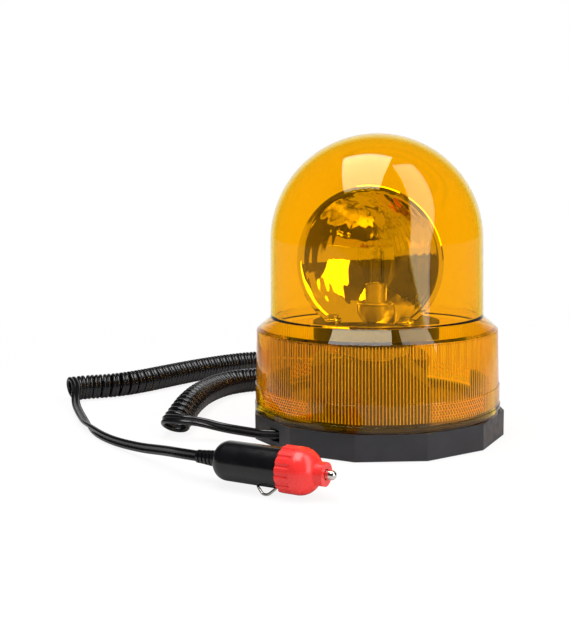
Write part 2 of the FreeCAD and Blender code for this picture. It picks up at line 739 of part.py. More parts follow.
def gear_face(teeth, module, bore):
    """A spur gear's flat face: straight-sided teeth with room at tip and root."""
    pitch = module * teeth / 2
    tip = pitch + TOOTH_TIP * module
    root = pitch - TOOTH_ROOT * module
    step = 2 * math.pi / teeth
    corners = []
    for tooth in range(teeth):
        middle = tooth * step
        flank = [(root, ROOT_SHARE), (tip, TIP_SHARE)]
        for radius, share in [(radius, -share) for radius, share in flank] + flank[::-1]:
            angle = middle + share * step
            corners.append(Vector(radius * math.cos(angle), radius * math.sin(angle), 0))
    corners.append(corners[0])
    rim = Part.Face(Part.makePolygon(corners))
    hole = Part.Face(Part.Wire(Part.Circle(Vector(0, 0, 0), Vector(0, 0, 1), bore).toShape()))
    return rim.cut(hole)


def build_gears():
    """The ring gear under the turntable and the motor pinion that drives it."""
    module = number_of(s.gear_module)
    teeth = int(number_of(s.gear_teeth))
    small = int(number_of(s.pinion_teeth))
    thickness = number_of(s.gear_thickness)
    ring_gear = gear_face(teeth, module, number_of(s.gear_seat_radius))
    gear = solid_shape("ring_gear_cut", ring_gear.extrude(Vector(0, 0, thickness)))
    half_tooth = 180.0 / teeth
    meshed = Rotation(Vector(0, 0, 1), 180 + half_tooth)
    gear.Placement = Placement(Vector(0, 0, number_of(hub_bottom)), meshed)
    node("ring_gear", gear)
    pinion_face = gear_face(small, module, number_of(s.shaft_radius))
    pinion = solid_shape("pinion_cut", pinion_face.extrude(Vector(0, 0, thickness)))
    pinion.Placement = Placement(
        Vector(-number_of(gear_distance), 0, number_of(hub_bottom)), Rotation()
    )
    node("motor_pinion", pinion)
    bottom = chassis_top - s.chassis_wall + s.motor_boss_height + s.run_gap
    length = gear_top + s.shaft_end_gap - bottom
    node("motor_shaft", cylinder("motor_shaft_rod", s.shaft_radius, length, (-gear_distance, 0, bottom)))


def build_motor():
    """The motor inside the drive housing, its can and its plastic end cap."""
    low = s.base_height + s.motor_clearance
    top = chassis_top - s.chassis_wall
    can_low = low + s.motor_end_height
    where = (-gear_distance, 0)
    can = cylinder("motor_can_tube", s.motor_radius, top - can_low, (*where, can_low))
    boss = cylinder("motor_boss", s.motor_boss_radius, s.motor_boss_height, (*where, top))
    node("motor_can", fuse("motor_can_boss", [can, boss]))
    node("motor_end_cap", cylinder("motor_cap", s.motor_radius - 0.8, s.motor_end_height, (*where, low)))


def build_holder():
    """The lamp holder tube, standing on the drive housing, and what is in it."""
    low = chassis_top - s.holder_drop
    holder = turned(
        "holder_body",
        [
            (s.holder_wire_bore, low),
            (s.holder_radius, low),
            (s.holder_radius, chassis_top),
            (s.holder_flange_radius, chassis_top),
            (s.holder_flange_radius, flange_top),
            (s.holder_radius, flange_top),
            (s.holder_radius, holder_top),
            (s.holder_bore, holder_top),
            (s.holder_bore, socket_bottom),
            (s.holder_wire_bore, socket_bottom),
        ],
    )
    node("lamp_holder", holder)
    contact_height = lamp_cap_bottom - socket_bottom
    node("lamp_contact", cylinder("contact", s.contact_radius, contact_height, (0, 0, socket_bottom)))
    node("lamp_cap", cylinder("cap_of_lamp", s.lamp_cap_radius, s.lamp_cap_height, (0, 0, lamp_cap_bottom)))
    glass_inner = s.glass_radius - s.glass_wall
    top = lamp_cap_top + s.glass_height
    shoulder = top - s.glass_radius
    glass = turned(
        "glass_body",
        [
            (glass_inner, lamp_cap_top),
            (s.glass_radius, lamp_cap_top),
            (s.glass_radius, shoulder),
            Bend(s.glass_radius, -1),
            (ZERO, top),
            (ZERO, top - s.glass_wall),
            Bend(glass_inner, 1),
            (glass_inner, shoulder),
        ],
    )
    node("lamp_glass", glass)
    post_height = focus_height - lamp_cap_top
    half = s.filament_length / 2
    posts = []
    for name, side in (("left", -half), ("right", half)):
        where = (side, 0, lamp_cap_top)
        posts.append(cylinder(f"filament_post_{name}", s.filament_post_radius, post_height, where))
    coil = doc.addObject("Part::Cylinder", "filament_coil")
    bind(coil, "Radius", s.filament_radius)
    bind(coil, "Height", s.filament_length)
    level = Rotation(Vector(0, 1, 0), 90)
    coil.Placement = Placement(Vector(-number_of(half), 0, number_of(focus_height)), level)
    bind(coil, "Placement.Base.x", -half)
    bind(coil, "Placement.Base.z", focus_height)
    node("lamp_filament", fuse("filament", [coil] + posts))
    clip_low = hub_top + s.run_gap
    node("hub_clip", ring("clip_ring", s.clip_radius, s.holder_radius, s.clip_thickness, (0, 0, clip_low)))


def ear_aside():
    """How far the mirror's screws are aside: inside its lip where that meets the disc."""
    lip = number_of(s.mirror_lip_radius)
    rise = number_of(s.focus_rise)
    return math.sqrt(lip ** 2 - rise ** 2) - number_of(s.mirror_ear_inset)


def ear_places():
    """Where the mirror is screwed down, in the turntable's own frame."""
    ahead = number_of(s.mirror_ear_ahead)
    aside = ear_aside()
    facing = math.radians(number_of(s.mirror_facing))
    places = []
    for side in (-aside, aside):
        across = ahead * math.cos(facing) - side * math.sin(facing)
        up = ahead * math.sin(facing) + side * math.cos(facing)
        places.append((across, up))
    return places


def build_turntable():
    """The turntable: rimmed disc, gear seat below and hub above, on a flanged bush."""
    rim_bottom = s.turntable_top - s.turntable_rim_height
    disc = turned(
        "turntable_body",
        [
            (hub_bore, hub_bottom),
            (s.gear_seat_radius, hub_bottom),
            (s.gear_seat_radius, gear_top),
            (s.gear_seat_shoulder, gear_top),
            (s.gear_seat_shoulder, disc_bottom),
            (s.turntable_radius - s.turntable_rim, disc_bottom),
            (s.turntable_radius - s.turntable_rim, rim_bottom),
            (s.turntable_radius, rim_bottom),
            (s.turntable_radius, s.turntable_top),
            (s.hub_radius, s.turntable_top),
            (s.hub_radius, hub_top),
            (hub_bore, hub_top),
        ],
    )
    holes = []
    bosses = []
    screws = []
    seat = s.turntable_top + s.mirror_ear_height
    length = s.mirror_ear_height + s.turntable_thickness + s.screw_head_height
    for step, where in enumerate(ear_places()):
        boss_low = disc_bottom - s.screw_head_height
        bosses.append(
            cylinder(f"mirror_boss_{step}", s.boss_radius, s.screw_head_height + 0.5, (*where, boss_low))
        )
        pilot = (*where, boss_low - THROUGH)
        holes.append(cylinder(f"mirror_pilot_{step}", s.screw_radius, length + THROUGH, pilot))
        screws.append(screw(f"mirror_screw_{step}", where, seat, 1, length))
    moulding = fuse("turntable_moulding", [disc] + bosses)
    node("turntable", cut("turntable_drilled", moulding, holes))
    node("reflector_screws", group("mirror_screw_set", screws))
    bush = turned(
        "bush_body",
        [
            (bush_bore, bush_bottom),
            (s.bush_flange_radius, bush_bottom),
            (s.bush_flange_radius, hub_bottom),
            (hub_bore, hub_bottom),
            (hub_bore, hub_top),
            (bush_bore, hub_top),
        ],
    )
    node("bearing_bush", bush)


def parabola_edge(focal, back, radius):
    """Half a parabola in the X-Y plane, opening to +X, from its apex out to a radius."""
    curve = Part.BezierCurve()
    rim = radius ** 2 / (4 * focal) - back
    curve.setPoles([Vector(-back, 0, 0), Vector(-back, radius / 2, 0), Vector(rim, radius, 0)])
    return curve.toShape()


def build_reflector():
    """The mirror: a parabolic dish with the lamp at its focus, cut flat on the turntable."""
    ahead = number_of(s.mirror_ahead)
    mouth = number_of(s.mirror_mouth)
    wall = number_of(s.mirror_wall)
    lip = number_of(s.mirror_lip_radius)
    lip_back = ahead - number_of(s.mirror_lip_thickness)
    focal = (math.hypot(ahead, mouth) - ahead) / 2
    inner = parabola_edge(focal, focal, mouth)
    outer_radius = math.sqrt(4 * focal * (lip_back + focal)) + wall
    outer_focal = outer_radius ** 2 / (4 * (lip_back + focal + wall))
    outer = parabola_edge(outer_focal, focal + wall, outer_radius)
    corners = [
        Vector(ahead, mouth, 0),
        Vector(ahead, lip, 0),
        Vector(lip_back, lip, 0),
        Vector(lip_back, outer_radius, 0),
    ]
    lines = [Part.LineSegment(a, b).toShape() for a, b in zip(corners, corners[1:])]
    apex = Part.LineSegment(Vector(-focal - wall, 0, 0), Vector(-focal, 0, 0)).toShape()
    section = Part.Face(Part.Wire(Part.__sortEdges__([inner, outer, apex] + lines)))
    dish = section.revolve(Vector(0, 0, 0), Vector(1, 0, 0), 360)
    floor = number_of(s.turntable_top) - number_of(focus_height)
    reach = 2 * lip
    below = Part.makeBox(2 * reach, 2 * reach, reach, Vector(-reach, -reach, floor - reach))
    hub = Part.makeCylinder(
        number_of(s.hub_radius) + number_of(s.mirror_hub_gap),
        number_of(s.focus_rise),
        Vector(0, 0, floor - THROUGH),
    )
    dish = dish.cut(below).cut(hub)
    ear_radius = number_of(s.mirror_ear_radius)
    ear_height = number_of(s.mirror_ear_height)
    ear_ahead = number_of(s.mirror_ear_ahead)
    aside = ear_aside()
    inner_face = Part.Face(
        Part.Wire(
            Part.__sortEdges__(
                [
                    parabola_edge(focal, focal, mouth),
                    Part.LineSegment(Vector(ahead, mouth, 0), Vector(ahead, 0, 0)).toShape(),
                    Part.LineSegment(Vector(ahead, 0, 0), Vector(-focal, 0, 0)).toShape(),
                ]
            )
        )
    )
    bowl_space = inner_face.revolve(Vector(0, 0, 0), Vector(1, 0, 0), 360)
    if bowl_space.Volume < 0:
        bowl_space.reverse()
    for side in (-aside, aside):
        ear = Part.makeCylinder(ear_radius, ear_height, Vector(ear_ahead, side, floor))
        web_start = min(side, side * 0.75)
        web = Part.makeBox(
            ear_radius * 2, abs(side) * 0.25, ear_height, Vector(ear_ahead - ear_radius, web_start, floor)
        )
        ear = ear.fuse(web).cut(bowl_space)
        dish = dish.fuse(ear)
    for side in (-aside, aside):
        hole_low = Vector(ear_ahead, side, floor - THROUGH)
        hole = Part.makeCylinder(number_of(s.screw_radius), ear_height + 2 * THROUGH, hole_low)
        room_radius = number_of(s.screw_head_radius) * 1.1
        room_low = Vector(ear_ahead, side, floor + ear_height)
        room = Part.makeCylinder(room_radius, ear_radius * 2.6, room_low)
        dish = dish.cut(hole).cut(room)
    mirror = solid_shape("mirror_dish", dish.removeSplitter())
    mirror.Placement = Placement(
        Vector(0, 0, number_of(focus_height)), Rotation(Vector(0, 0, 1), number_of(s.mirror_facing))
    )
    node("reflector", mirror)


def rounded_path(points):
    """Straight runs joined by tangent arcs, each as large as its two runs allow."""
    edges = []
    radii = []
    start = points[0]
    for index in range(1, len(points) - 1):
        corner = points[index]
        before = (points[index - 1] - corner).normalize()
        after = (points[index + 1] - corner).normalize()
        half_turn = (math.pi - before.getAngle(after)) / 2
        shorter = min((points[index - 1] - corner).Length, (points[index + 1] - corner).Length)
        trim = 0.45 * shorter
        radius = trim / math.tan(half_turn)
        radii.append(radius)
        first = corner + before * trim
        last = corner + after * trim
        inward = (before + after).normalize()
        centre = corner + inward * (radius / math.cos(half_turn))
        middle = centre - inward * radius
        edges.append(Part.LineSegment(start, first).toShape())
        edges.append(Part.Arc(first, middle, last).toShape())
        start = last
    edges.append(Part.LineSegment(start, points[-1]).toShape())
    return Part.Wire(edges), radii


def tube(name, places, radius):
    """A round tube along a path, with its volume compared with section times length."""
    points = [Vector(*place_at) for place_at in places]
    path, radii = rounded_path(points)
    direction = points[1] - points[0]
    circle = Part.Circle(points[0], direction, radius).toShape()
    shape = path.makePipeShell([Part.Wire(circle)], True, False)
    expected = math.pi * radius ** 2 * path.Length
    print(f"{name}: length {path.Length:.1f} mm, bend radii", [round(value, 1) for value in radii])
    if abs(shape.Volume - expected) > 0.01 * expected:
        raise ValueError(f"{name}: volume {shape.Volume:.1f} against {expected:.1f}")
    return shape


# The middle of the hole in the skirt for which the routes below are laid
ROUTES_FROM = (-50.582, -40.524)

# Route of the lead from the base to the curly part, through the skirt's hole
BASE_LEAD = [
    (-37.5, -37.5, 6.6),
    (-53.0, -40.6, 6.6),
    (-66.0, -34.4, 6.9),
    (-79.0, -29.4, 7.6),
    (-90.5, -27.2, 10.0),
    (-100.7, -23.0, 12.0),
]

# Route of the curly part, flat on the floor, doubled back behind the beacon
COIL = [
    (-105.7, -22.5),
    (-106.6, 7.3),
    (-106.0, 36.1),
    (-104.1, 58.0),
    (-98.5, 77.3),
    (-91.0, 90.0),
    (-78.0, 98.6),
    (-58.0, 102.0),
    (-32.0, 103.5),
    (-6.0, 104.5),
    (16.0, 110.0),
    (29.0, 124.0),
    (31.0, 143.0),
    (20.0, 159.0),
    (0.0, 168.0),
    (-26.0, 172.5),
    (-55.0, 172.0),
    (-87.4, 163.4),
    (-105.4, 149.4),
    (-122.0, 131.2),
    (-141.6, 105.3),
    (-154.5, 85.3),
    (-168.2, 73.5),
    (-182.5, 72.5),
    (-190.5, 68.5),
]

# Route of the lead from the curly part to the plug
PLUG_LEAD = [
    (-189.3, 64.8, 11.6),
    (-185.5, 57.0, 9.6),
    (-180.0, 43.0, 4.6),
    (-169.4, 18.8, 2.9),
    (-153.6, -14.5, 2.7),
    (-135.7, -39.1, 2.9),
    (-115.0, -59.4, 4.6),
    (-98.5, -77.0, 8.2),
    (-86.9, -91.2, 10.7),
    (-75.5, -97.4, 11.0),
]


def routes_shift():
    """How far the hole in the skirt is from where the routes are laid for."""
    across, up = around(base_apothem, s.cord_hole_angle)
    return Vector(number_of(across) - ROUTES_FROM[0], number_of(up) - ROUTES_FROM[1], 0)


def routed(points):
    """A route's points, moved with the hole in the skirt."""
    return [Vector(*point) + routes_shift() for point in points]


def build_cord():
    """The flexible cord: two plain leads and the curly part as one fat tube."""
    lead = number_of(s.lead_radius)
    height = number_of(s.coil_height)
    node("cord_base_lead", solid_shape("base_lead", tube("base lead", routed(BASE_LEAD), lead)))
    coil = routed([(across, up, height) for across, up in COIL])
    node("curly_cord", solid_shape("coil", tube("curly cord", coil, number_of(s.coil_radius))))
    node("cord_plug_lead", solid_shape("plug_lead", tube("plug lead", routed(PLUG_LEAD), lead)))


def build_clamp_and_wires():
    """The clamp that holds the cord under the deck, and the wires from it."""
    start, following = routed(BASE_LEAD[:2])
    toward = following - start
    angle = math.degrees(math.atan2(toward.y, toward.x))
    length = number_of(s.clamp_length)
    width = number_of(s.clamp_width)
    low = number_of(s.cord_height) - number_of(s.clamp_foot)
    corner = Vector(number_of(s.clamp_setback), -width / 2, low)
    body = Part.makeBox(length, width, number_of(deck_bottom) - low, corner)
    body.Placement = Placement(Vector(start.x, start.y, 0), Rotation(Vector(0, 0, 1), angle))
    passage = Part.makeCylinder(number_of(s.lead_radius), length + 4, start, toward)
    node("cord_clamp", solid_shape("clamp", body.cut(passage)))
    wire = number_of(s.wire_radius)
    hole_x, hole_y = [number_of(value) for value in wire_hole_place()]
    above = number_of(s.base_height) + 2.0
    motor_x = -number_of(gear_distance)
    motor_edge = -number_of(s.motor_radius) + 1.1
    lane = -number_of(lug_reach + lug_radius) - 2 * wire
    wall = -number_of(s.chassis_depth)
    cord = number_of(s.cord_height)
    holder_low = number_of(chassis_top) - number_of(s.holder_drop)
    to_motor = [
        (start.x, start.y, cord - wire),
        (hole_x, hole_y + 0.9, cord - wire),
        (hole_x + 0.4, hole_y + 1.1, above),
        (hole_x + 5.0, lane, above),
        (-17.5, lane + 1.0, above),
        (-15.4, wall + 5.5, above),
        (motor_x + 3.2, motor_edge, above - 0.6),
    ]
    to_lamp = [
        (start.x, start.y, cord + wire),
        (hole_x + 0.2, hole_y - 1.1, cord + wire),
        (hole_x + 0.8, hole_y - 1.0, above + 0.2),
        (hole_x + 6.0, lane - 2.6, above + 0.2),
        (-14.5, lane - 0.6, above + 0.6),
        (-11.0, wall + 4.5, above + 1.0),
        (-3.5, -8.0, above + 4.0),
        (0.0, 0.0, holder_low - 3.0),
        (0.3, 0.2, holder_low + 6.0),
    ]
    wires = [tube("motor wire", to_motor, wire), tube("lamp wire", to_lamp, wire)]
    node("supply_wires", solid_shape("wires", Part.makeCompound(wires)))


# The plug is modelled along its own +Z axis, from its strain relief to its pin
cord_hole_across, cord_hole_up = around(base_apothem, s.cord_hole_angle)
plug_rear = (cord_hole_across - s.plug_rear_left, cord_hole_up - s.plug_rear_front, s.plug_axis_height)
plug_place = Placement(
    Vector(*[number_of(value) for value in plug_rear]),
    Rotation(Vector(0, 0, 1), number_of(s.plug_turn)) * Rotation(Vector(0, 1, 0), 90),
)
body_front = s.relief_length + s.plug_length
neck_front = body_front + s.neck_length
cap_front = body_front + s.cap_grip_length + s.cap_cone_length + s.cap_nose_length
cap_inside = cap_front - s.cap_front_wall
shoulder_back = cap_inside - s.pin_shoulder_length
fuse_back = shoulder_back - s.fuse_length
chamber_back = fuse_back - s.spring_room


def build_plug_body():
    """The black body with its neck, and the strain relief in its rear end."""
    relief_inner = s.lead_radius
    root = s.relief_length + s.relief_seat
    grooves = []
    step = s.relief_length / 5
    widening = (s.relief_root_radius - s.relief_end_radius) / 5
    for groove in range(4):
        low = step * (groove + 0.6)
        outside = s.relief_end_radius + widening * groove
        floor = outside - s.relief_groove * 0.7
        grooves += [
            (outside, low),
            (floor, low),
            (floor, low + s.relief_groove),
            (outside + widening / 2, low + s.relief_groove),
        ]
    relief = turned(
        "relief_body",
        [(relief_inner, ZERO), (s.relief_end_radius, ZERO)]
        + grooves
        + [(s.relief_root_radius, s.relief_length), (s.relief_root_radius, root), (relief_inner, root)],
    )
    relief.Placement = plug_place
    node("plug_relief", relief)
    shell = turned(
        "plug_shell",
        [
            (s.relief_root_radius, s.relief_length),
            (s.relief_root_radius, root),
            (s.plug_bore, chamber_back),
            (s.plug_bore, neck_front),
            (s.neck_radius, neck_front),
            (s.neck_radius, body_front),
            (s.plug_radius, body_front),
            (s.plug_radius, s.relief_length + s.plug_round),
            Bend(s.plug_round * 1.1, 1),
            (s.relief_root_radius + s.relief_groove, s.relief_length),
        ],
    )
    slots = []
    for side in (-1, 1):
        slot = doc.addObject("Part::Box", f"bow_slot_{'near' if side < 0 else 'far'}")
        bind(slot, "Length", s.plug_radius)
        bind(slot, "Width", s.bow_slot_width)
        bind(slot, "Height", s.bow_length - 2)
        slot.Placement = bow_frame(side, Vector(6.0, -number_of(s.bow_slot_width) / 2, 1.0))
        slots.append(slot)
    body = cut("plug_slotted", shell, slots)
    body.Placement = plug_place
    node("plug_body", body)


def bow_frame(side, offset):
    """The frame of one side contact, in the plug's frame: X points out of the plug."""
    out = 180.0 - number_of(s.bow_angle) if side < 0 else number_of(s.bow_angle)
    along = number_of(body_front) - number_of(s.bow_length)
    turn = Rotation(Vector(0, 0, 1), out - 90.0)
    return Placement(Vector(0, 0, along) + turn.multVec(offset), turn)


def build_side_contacts():
    """Two wire bows that press on the wall of the socket."""
    wire = number_of(s.bow_wire_radius)
    length = number_of(s.bow_length)
    bulge = number_of(s.bow_bulge)
    bows = []
    for side in (-1, 1):
        places = [
            (6.6, 0, 1.8),
            (9.0, 0, 1.9),
            (bulge, 0, length * 0.42),
            (bulge, 0, length * 0.62),
            (9.0, 0, length - 1.9),
            (6.6, 0, length - 1.8),
        ]
        bow = tube("side contact", places, wire)
        bow.Placement = bow_frame(side, Vector(0, 0, 0))
        bows.append(bow)
    contacts = solid_shape("side_contacts", Part.makeCompound(bows))
    contacts.Placement = plug_place
    node("plug_side_contacts", contacts)


def build_plug_cap():
    """The red cap: grip flats round its rear, a rounded cone and a nose."""
    grip_front = body_front + s.cap_grip_length
    cone_front = grip_front + s.cap_cone_length
    inner = s.neck_radius + s.cap_clearance
    cap = turned(
        "cap_shell",
        [
            (inner, body_front),
            (s.cap_radius, body_front),
            (s.cap_radius, grip_front),
            Bend(s.cap_cone_length * 1.15, -1),
            (s.cap_nose_radius, cone_front),
            (s.cap_nose_radius, cap_front),
            (s.pin_radius + s.pin_gap, cap_front),
            (s.pin_radius + s.pin_gap, cap_inside),
            (s.fuse_radius + s.pin_gap, cap_inside),
            (s.fuse_radius + s.pin_gap, neck_front + s.cap_clearance),
            (inner, neck_front + s.cap_clearance),
        ],
    )
    grips = []
    count = int(number_of(s.cap_grips))
    for step in range(count):
        angle = 360.0 / count * step
        reach = s.cap_radius + s.grip_groove_radius - s.cap_grip_depth
        across, up = around(reach, angle)
        where = (across, up, body_front - THROUGH)
        grips.append(cylinder(f"grip_{step}", s.grip_groove_radius, s.cap_grip_length, where))
    body = cut("cap_gripped", cap, grips)
    body.Placement = plug_place
    node("plug_cap", body)


def build_plug_inside():
    """The sprung pin, the fuse behind it and the spring."""
    pin_front = cap_front + s.pin_out
    pin = turned(
        "pin_body",
        [
            (ZERO, shoulder_back),
            (s.pin_shoulder_radius, shoulder_back),
            (s.pin_shoulder_radius, cap_inside - 0.1),
            (s.pin_radius, cap_inside - 0.1),
            (s.pin_radius, pin_front - s.pin_radius),
            Bend(s.pin_radius, -1),
            (ZERO, pin_front),
        ],
    )
    pin.Placement = plug_place
    node("plug_pin", pin)
    rod = cylinder("fuse_rod", s.fuse_radius, s.fuse_length)
    rod.Placement = plug_place * Placement(Vector(0, 0, number_of(fuse_back)), Rotation())
    node("plug_fuse", rod)
    node("plug_spring", build_spring())


def build_spring():
    """The spring behind the fuse, coiled between the chamber's floor and the fuse."""
    wire = number_of(s.spring_wire)
    coil = number_of(s.spring_radius)
    turns = int(number_of(s.spring_turns))
    room = number_of(fuse_back) - number_of(chamber_back) - 2 * wire
    steps = turns * 6
    places = []
    for step in range(steps + 1):
        angle = math.pi / 3 * step
        places.append((coil * math.cos(angle), coil * math.sin(angle), room / steps * step))
    spring = solid_shape("spring_coil", tube("spring", places, wire))
    spring.Placement = plug_place * Placement(Vector(0, 0, number_of(chamber_back) + wire), Rotation())
    return spring


def check_and_write():
    """Compare every object's state and every sub-part's shape, then write the files."""
    doc.recompute()
    for thing in doc.Objects:
        bad = [word for word in thing.State if word in ("Invalid", "Error")]
        if bad:
            raise ValueError(f"{thing.Name}: {bad}")
    os.makedirs("parts", exist_ok=True)
    for name, thing in NODES.items():
        shape = thing.Shape
        if shape.isNull() or not shape.isValid() or not shape.Solids:
            raise ValueError(f"{name}: no valid solid")
        shape.exportStep(f"parts/{name}.step")
    print(len(NODES), "sub-parts")


build_base_housing()
build_magnet()
build_gasket()
build_lens()
build_chassis()
build_gears()
build_motor()
build_holder()
build_turntable()
build_reflector()
build_cord()
build_clamp_and_wires()
build_plug_body()
build_side_contacts()
build_plug_cap()
build_plug_inside()
check_and_write()
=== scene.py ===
import bisect
import math

import bmesh
import bpy
from mathutils import Matrix, Vector


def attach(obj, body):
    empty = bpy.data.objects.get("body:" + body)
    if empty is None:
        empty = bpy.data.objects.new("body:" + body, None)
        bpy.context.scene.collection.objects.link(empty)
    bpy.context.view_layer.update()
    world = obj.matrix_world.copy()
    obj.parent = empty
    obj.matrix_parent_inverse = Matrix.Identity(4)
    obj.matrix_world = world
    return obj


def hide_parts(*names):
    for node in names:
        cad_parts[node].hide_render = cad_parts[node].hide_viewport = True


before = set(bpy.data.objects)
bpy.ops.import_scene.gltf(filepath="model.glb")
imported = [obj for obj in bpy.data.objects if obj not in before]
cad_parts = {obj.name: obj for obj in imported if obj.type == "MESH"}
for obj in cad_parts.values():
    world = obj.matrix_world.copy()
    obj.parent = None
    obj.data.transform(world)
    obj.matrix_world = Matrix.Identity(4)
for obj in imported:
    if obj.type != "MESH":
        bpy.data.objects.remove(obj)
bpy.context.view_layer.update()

# The looks of a magnetic flashing beacon around its CAD model: the amber lens with its fine flutes, the
# chromed mirror, the flat twin flex wound into a curly cord, and a procedural material for every piece.
# +Z is up and the origin is on the beacon's axis. Sizes are metres, written in millimetres times MM, but the
# cord's routes, the lens and the mirror are in millimetres until their points are made.
MM = 0.001
UP = Vector((0, 0, 1))


# The lens's sizes that its material reads too, in millimetres
LENS_FLUTES = 240
FLUTES_FROM = 17.6
FLUTES_TO = 54.6
LENS_WALL = 2.2
WALL_RADIUS = 64.2


# Camera, at the photograph's viewing angle
CAMERA_PLACE = Vector((0.0, -511.657, 127.922)) * MM
CAMERA_LOOKS_DOWN = 7.274
CAMERA_LOOKS_LEFT = 5.417
CAMERA_ROLL = -0.812
CAMERA_SENSOR = 36.0
CAMERA_LENS = 61.07


def add_camera():
    data = bpy.data.cameras.new("camera")
    data.sensor_fit = "HORIZONTAL"
    data.sensor_width = CAMERA_SENSOR
    data.lens = CAMERA_LENS
    camera = bpy.data.objects.new("camera", data)
    bpy.context.scene.collection.objects.link(camera)
    turn = Matrix.Rotation(math.radians(CAMERA_LOOKS_LEFT), 4, "Z")
    tilt = Matrix.Rotation(math.radians(90 - CAMERA_LOOKS_DOWN), 4, "X")
    roll = Matrix.Rotation(math.radians(CAMERA_ROLL), 4, "Z")
    camera.matrix_world = Matrix.Translation(CAMERA_PLACE) @ turn @ tilt @ roll
    bpy.context.scene.camera = camera


# Materials
class Level:
    """Numbers worked out from one another in a node tree."""

    def __init__(self, tree):
        self.tree = tree

    def maths(self, operation, *values):
        node = self.tree.nodes.new("ShaderNodeMath")
        node.operation = operation
        for socket, value in zip(node.inputs, values):
            if isinstance(value, (int, float)):
                socket.default_value = value
            else:
                self.tree.links.new(value, socket)
        return node.outputs[0]

    def rising(self, value, start, end, low, high):
        """Goes smoothly from low to high as the value goes from start to end."""
        node = self.tree.nodes.new("ShaderNodeMapRange")
        node.interpolation_type = "SMOOTHSTEP"
        for name, number in (("From Min", start), ("From Max", end), ("To Min", low), ("To Max", high)):
            node.inputs[name].default_value = number
        self.tree.links.new(value, node.inputs["Value"])
        return node.outputs["Result"]

    def within(self, value, low, high):
        """1 between low and high, and 0 elsewhere."""
        above, below = self.maths("GREATER_THAN", value, low), self.maths("LESS_THAN", value, high)
        return self.maths("MULTIPLY", above, below)

    def split(self, vector):
        """The X, Y and Z of a vector."""
        node = self.tree.nodes.new("ShaderNodeSeparateXYZ")
        self.tree.links.new(vector, node.inputs["Vector"])
        return [node.outputs[axis] for axis in "XYZ"]

    def length(self, vector):
        node = self.tree.nodes.new("ShaderNodeVectorMath")
        node.operation = "LENGTH"
        self.tree.links.new(vector, node.inputs[0])
        return node.outputs["Value"]

    def out_from_axis(self, x, y):
        squares = self.maths("ADD", self.maths("MULTIPLY", x, x), self.maths("MULTIPLY", y, y))
        return self.maths("SQRT", squares)


# Blender's noise seldom leaves this range
NOISE_RANGE = (0.3, 0.7)


class Shader:
    """One material's nodes, with short calls that add them, join them and set the main shader."""

    def __init__(self, name, colour, roughness, **settings):
        self.material = bpy.data.materials.new(name)
        self.material.use_nodes = True
        self.tree = self.material.node_tree
        self.tree.nodes.clear()
        self.level = Level(self.tree)
        self.place = self.add("ShaderNodeTexCoord").outputs["Object"]
        self.main = self.add("ShaderNodeBsdfPrincipled")
        self.main.inputs["Base Color"].default_value = (*colour, 1)
        self.main.inputs["Roughness"].default_value = roughness
        for socket, value in settings.items():
            self.main.inputs[socket.replace("_", " ")].default_value = value
        self.colour = colour
        self.out = self.add("ShaderNodeOutputMaterial")
        self.join(self.main.outputs["BSDF"], self.out.inputs["Surface"])

    def add(self, kind, **settings):
        node = self.tree.nodes.new(kind)
        for name, value in settings.items():
            setattr(node, name, value)
        return node

    def join(self, source, target):
        self.tree.links.new(source, target)

    def noise(self, size, detail=3.0, stretch=(1, 1, 1)):
        """Soft noise whose grains are about size wide, stretched along each axis."""
        mapping = self.add("ShaderNodeMapping")
        mapping.inputs["Scale"].default_value = [1 / s for s in stretch]
        self.join(self.place, mapping.inputs["Vector"])
        noise = self.add("ShaderNodeTexNoise")
        noise.inputs["Scale"].default_value = 1 / size
        noise.inputs["Detail"].default_value = detail
        self.join(mapping.outputs["Vector"], noise.inputs["Vector"])
        return noise.outputs["Fac"]

    def spread(self, factor, low, high):
        """Noise mapped from its own range to one from low to high."""
        scale = self.add("ShaderNodeMapRange")
        scale.inputs["From Min"].default_value, scale.inputs["From Max"].default_value = NOISE_RANGE
        scale.inputs["To Min"].default_value = low
        scale.inputs["To Max"].default_value = high
        self.join(factor, scale.inputs["Value"])
        return scale.outputs["Result"]

    def mottle(self, factor, other):
        """The base colour turns to other where the factor is high."""
        mix = self.add("ShaderNodeMix", data_type="RGBA")
        mix.inputs["A"].default_value = (*self.colour, 1)
        mix.inputs["B"].default_value = (*other, 1)
        self.join(self.spread(factor, 0, 1), mix.inputs["Factor"])
        self.join(mix.outputs["Result"], self.main.inputs["Base Color"])

    def uneven(self, factor, low, high):
        """The roughness goes from low to high with the factor."""
        self.join(self.spread(factor, low, high), self.main.inputs["Roughness"])

    def bump(self, height, depth):
        """The surface stands out by up to depth where the height is high."""
        node = self.add("ShaderNodeBump")
        node.inputs["Strength"].default_value = 1.0
        node.inputs["Distance"].default_value = depth
        self.join(height, node.inputs["Height"])
        self.join(node.outputs["Normal"], self.main.inputs["Normal"])


def plastic(name, colour, roughness, other=None, grain=0.35 * MM, depth=0.01 * MM, **settings):
    """Moulded plastic: a little uneven in colour and shine, with a fine grain."""
    shader = Shader(name, colour, roughness, **settings)
    other = other or [c * 1.25 + 0.004 for c in colour]
    shader.mottle(shader.noise(9 * MM), other)
    shader.uneven(shader.noise(4 * MM), roughness * 0.85, roughness * 1.2)
    shader.bump(shader.noise(grain, 2.0), depth)
    return shader.material


def metal(name, colour, roughness, stretch=(1, 1, 1), depth=0.006 * MM):
    """Plated or drawn metal, with faint marks drawn out along an axis."""
    shader = Shader(name, colour, roughness, Metallic=1.0)
    shader.mottle(shader.noise(5 * MM), [c * 0.86 for c in colour])
    shader.uneven(shader.noise(0.8 * MM, 3.0, stretch), roughness * 0.7, roughness * 1.35)
    shader.bump(shader.noise(0.5 * MM, 3.0, stretch), depth)
    return shader.material


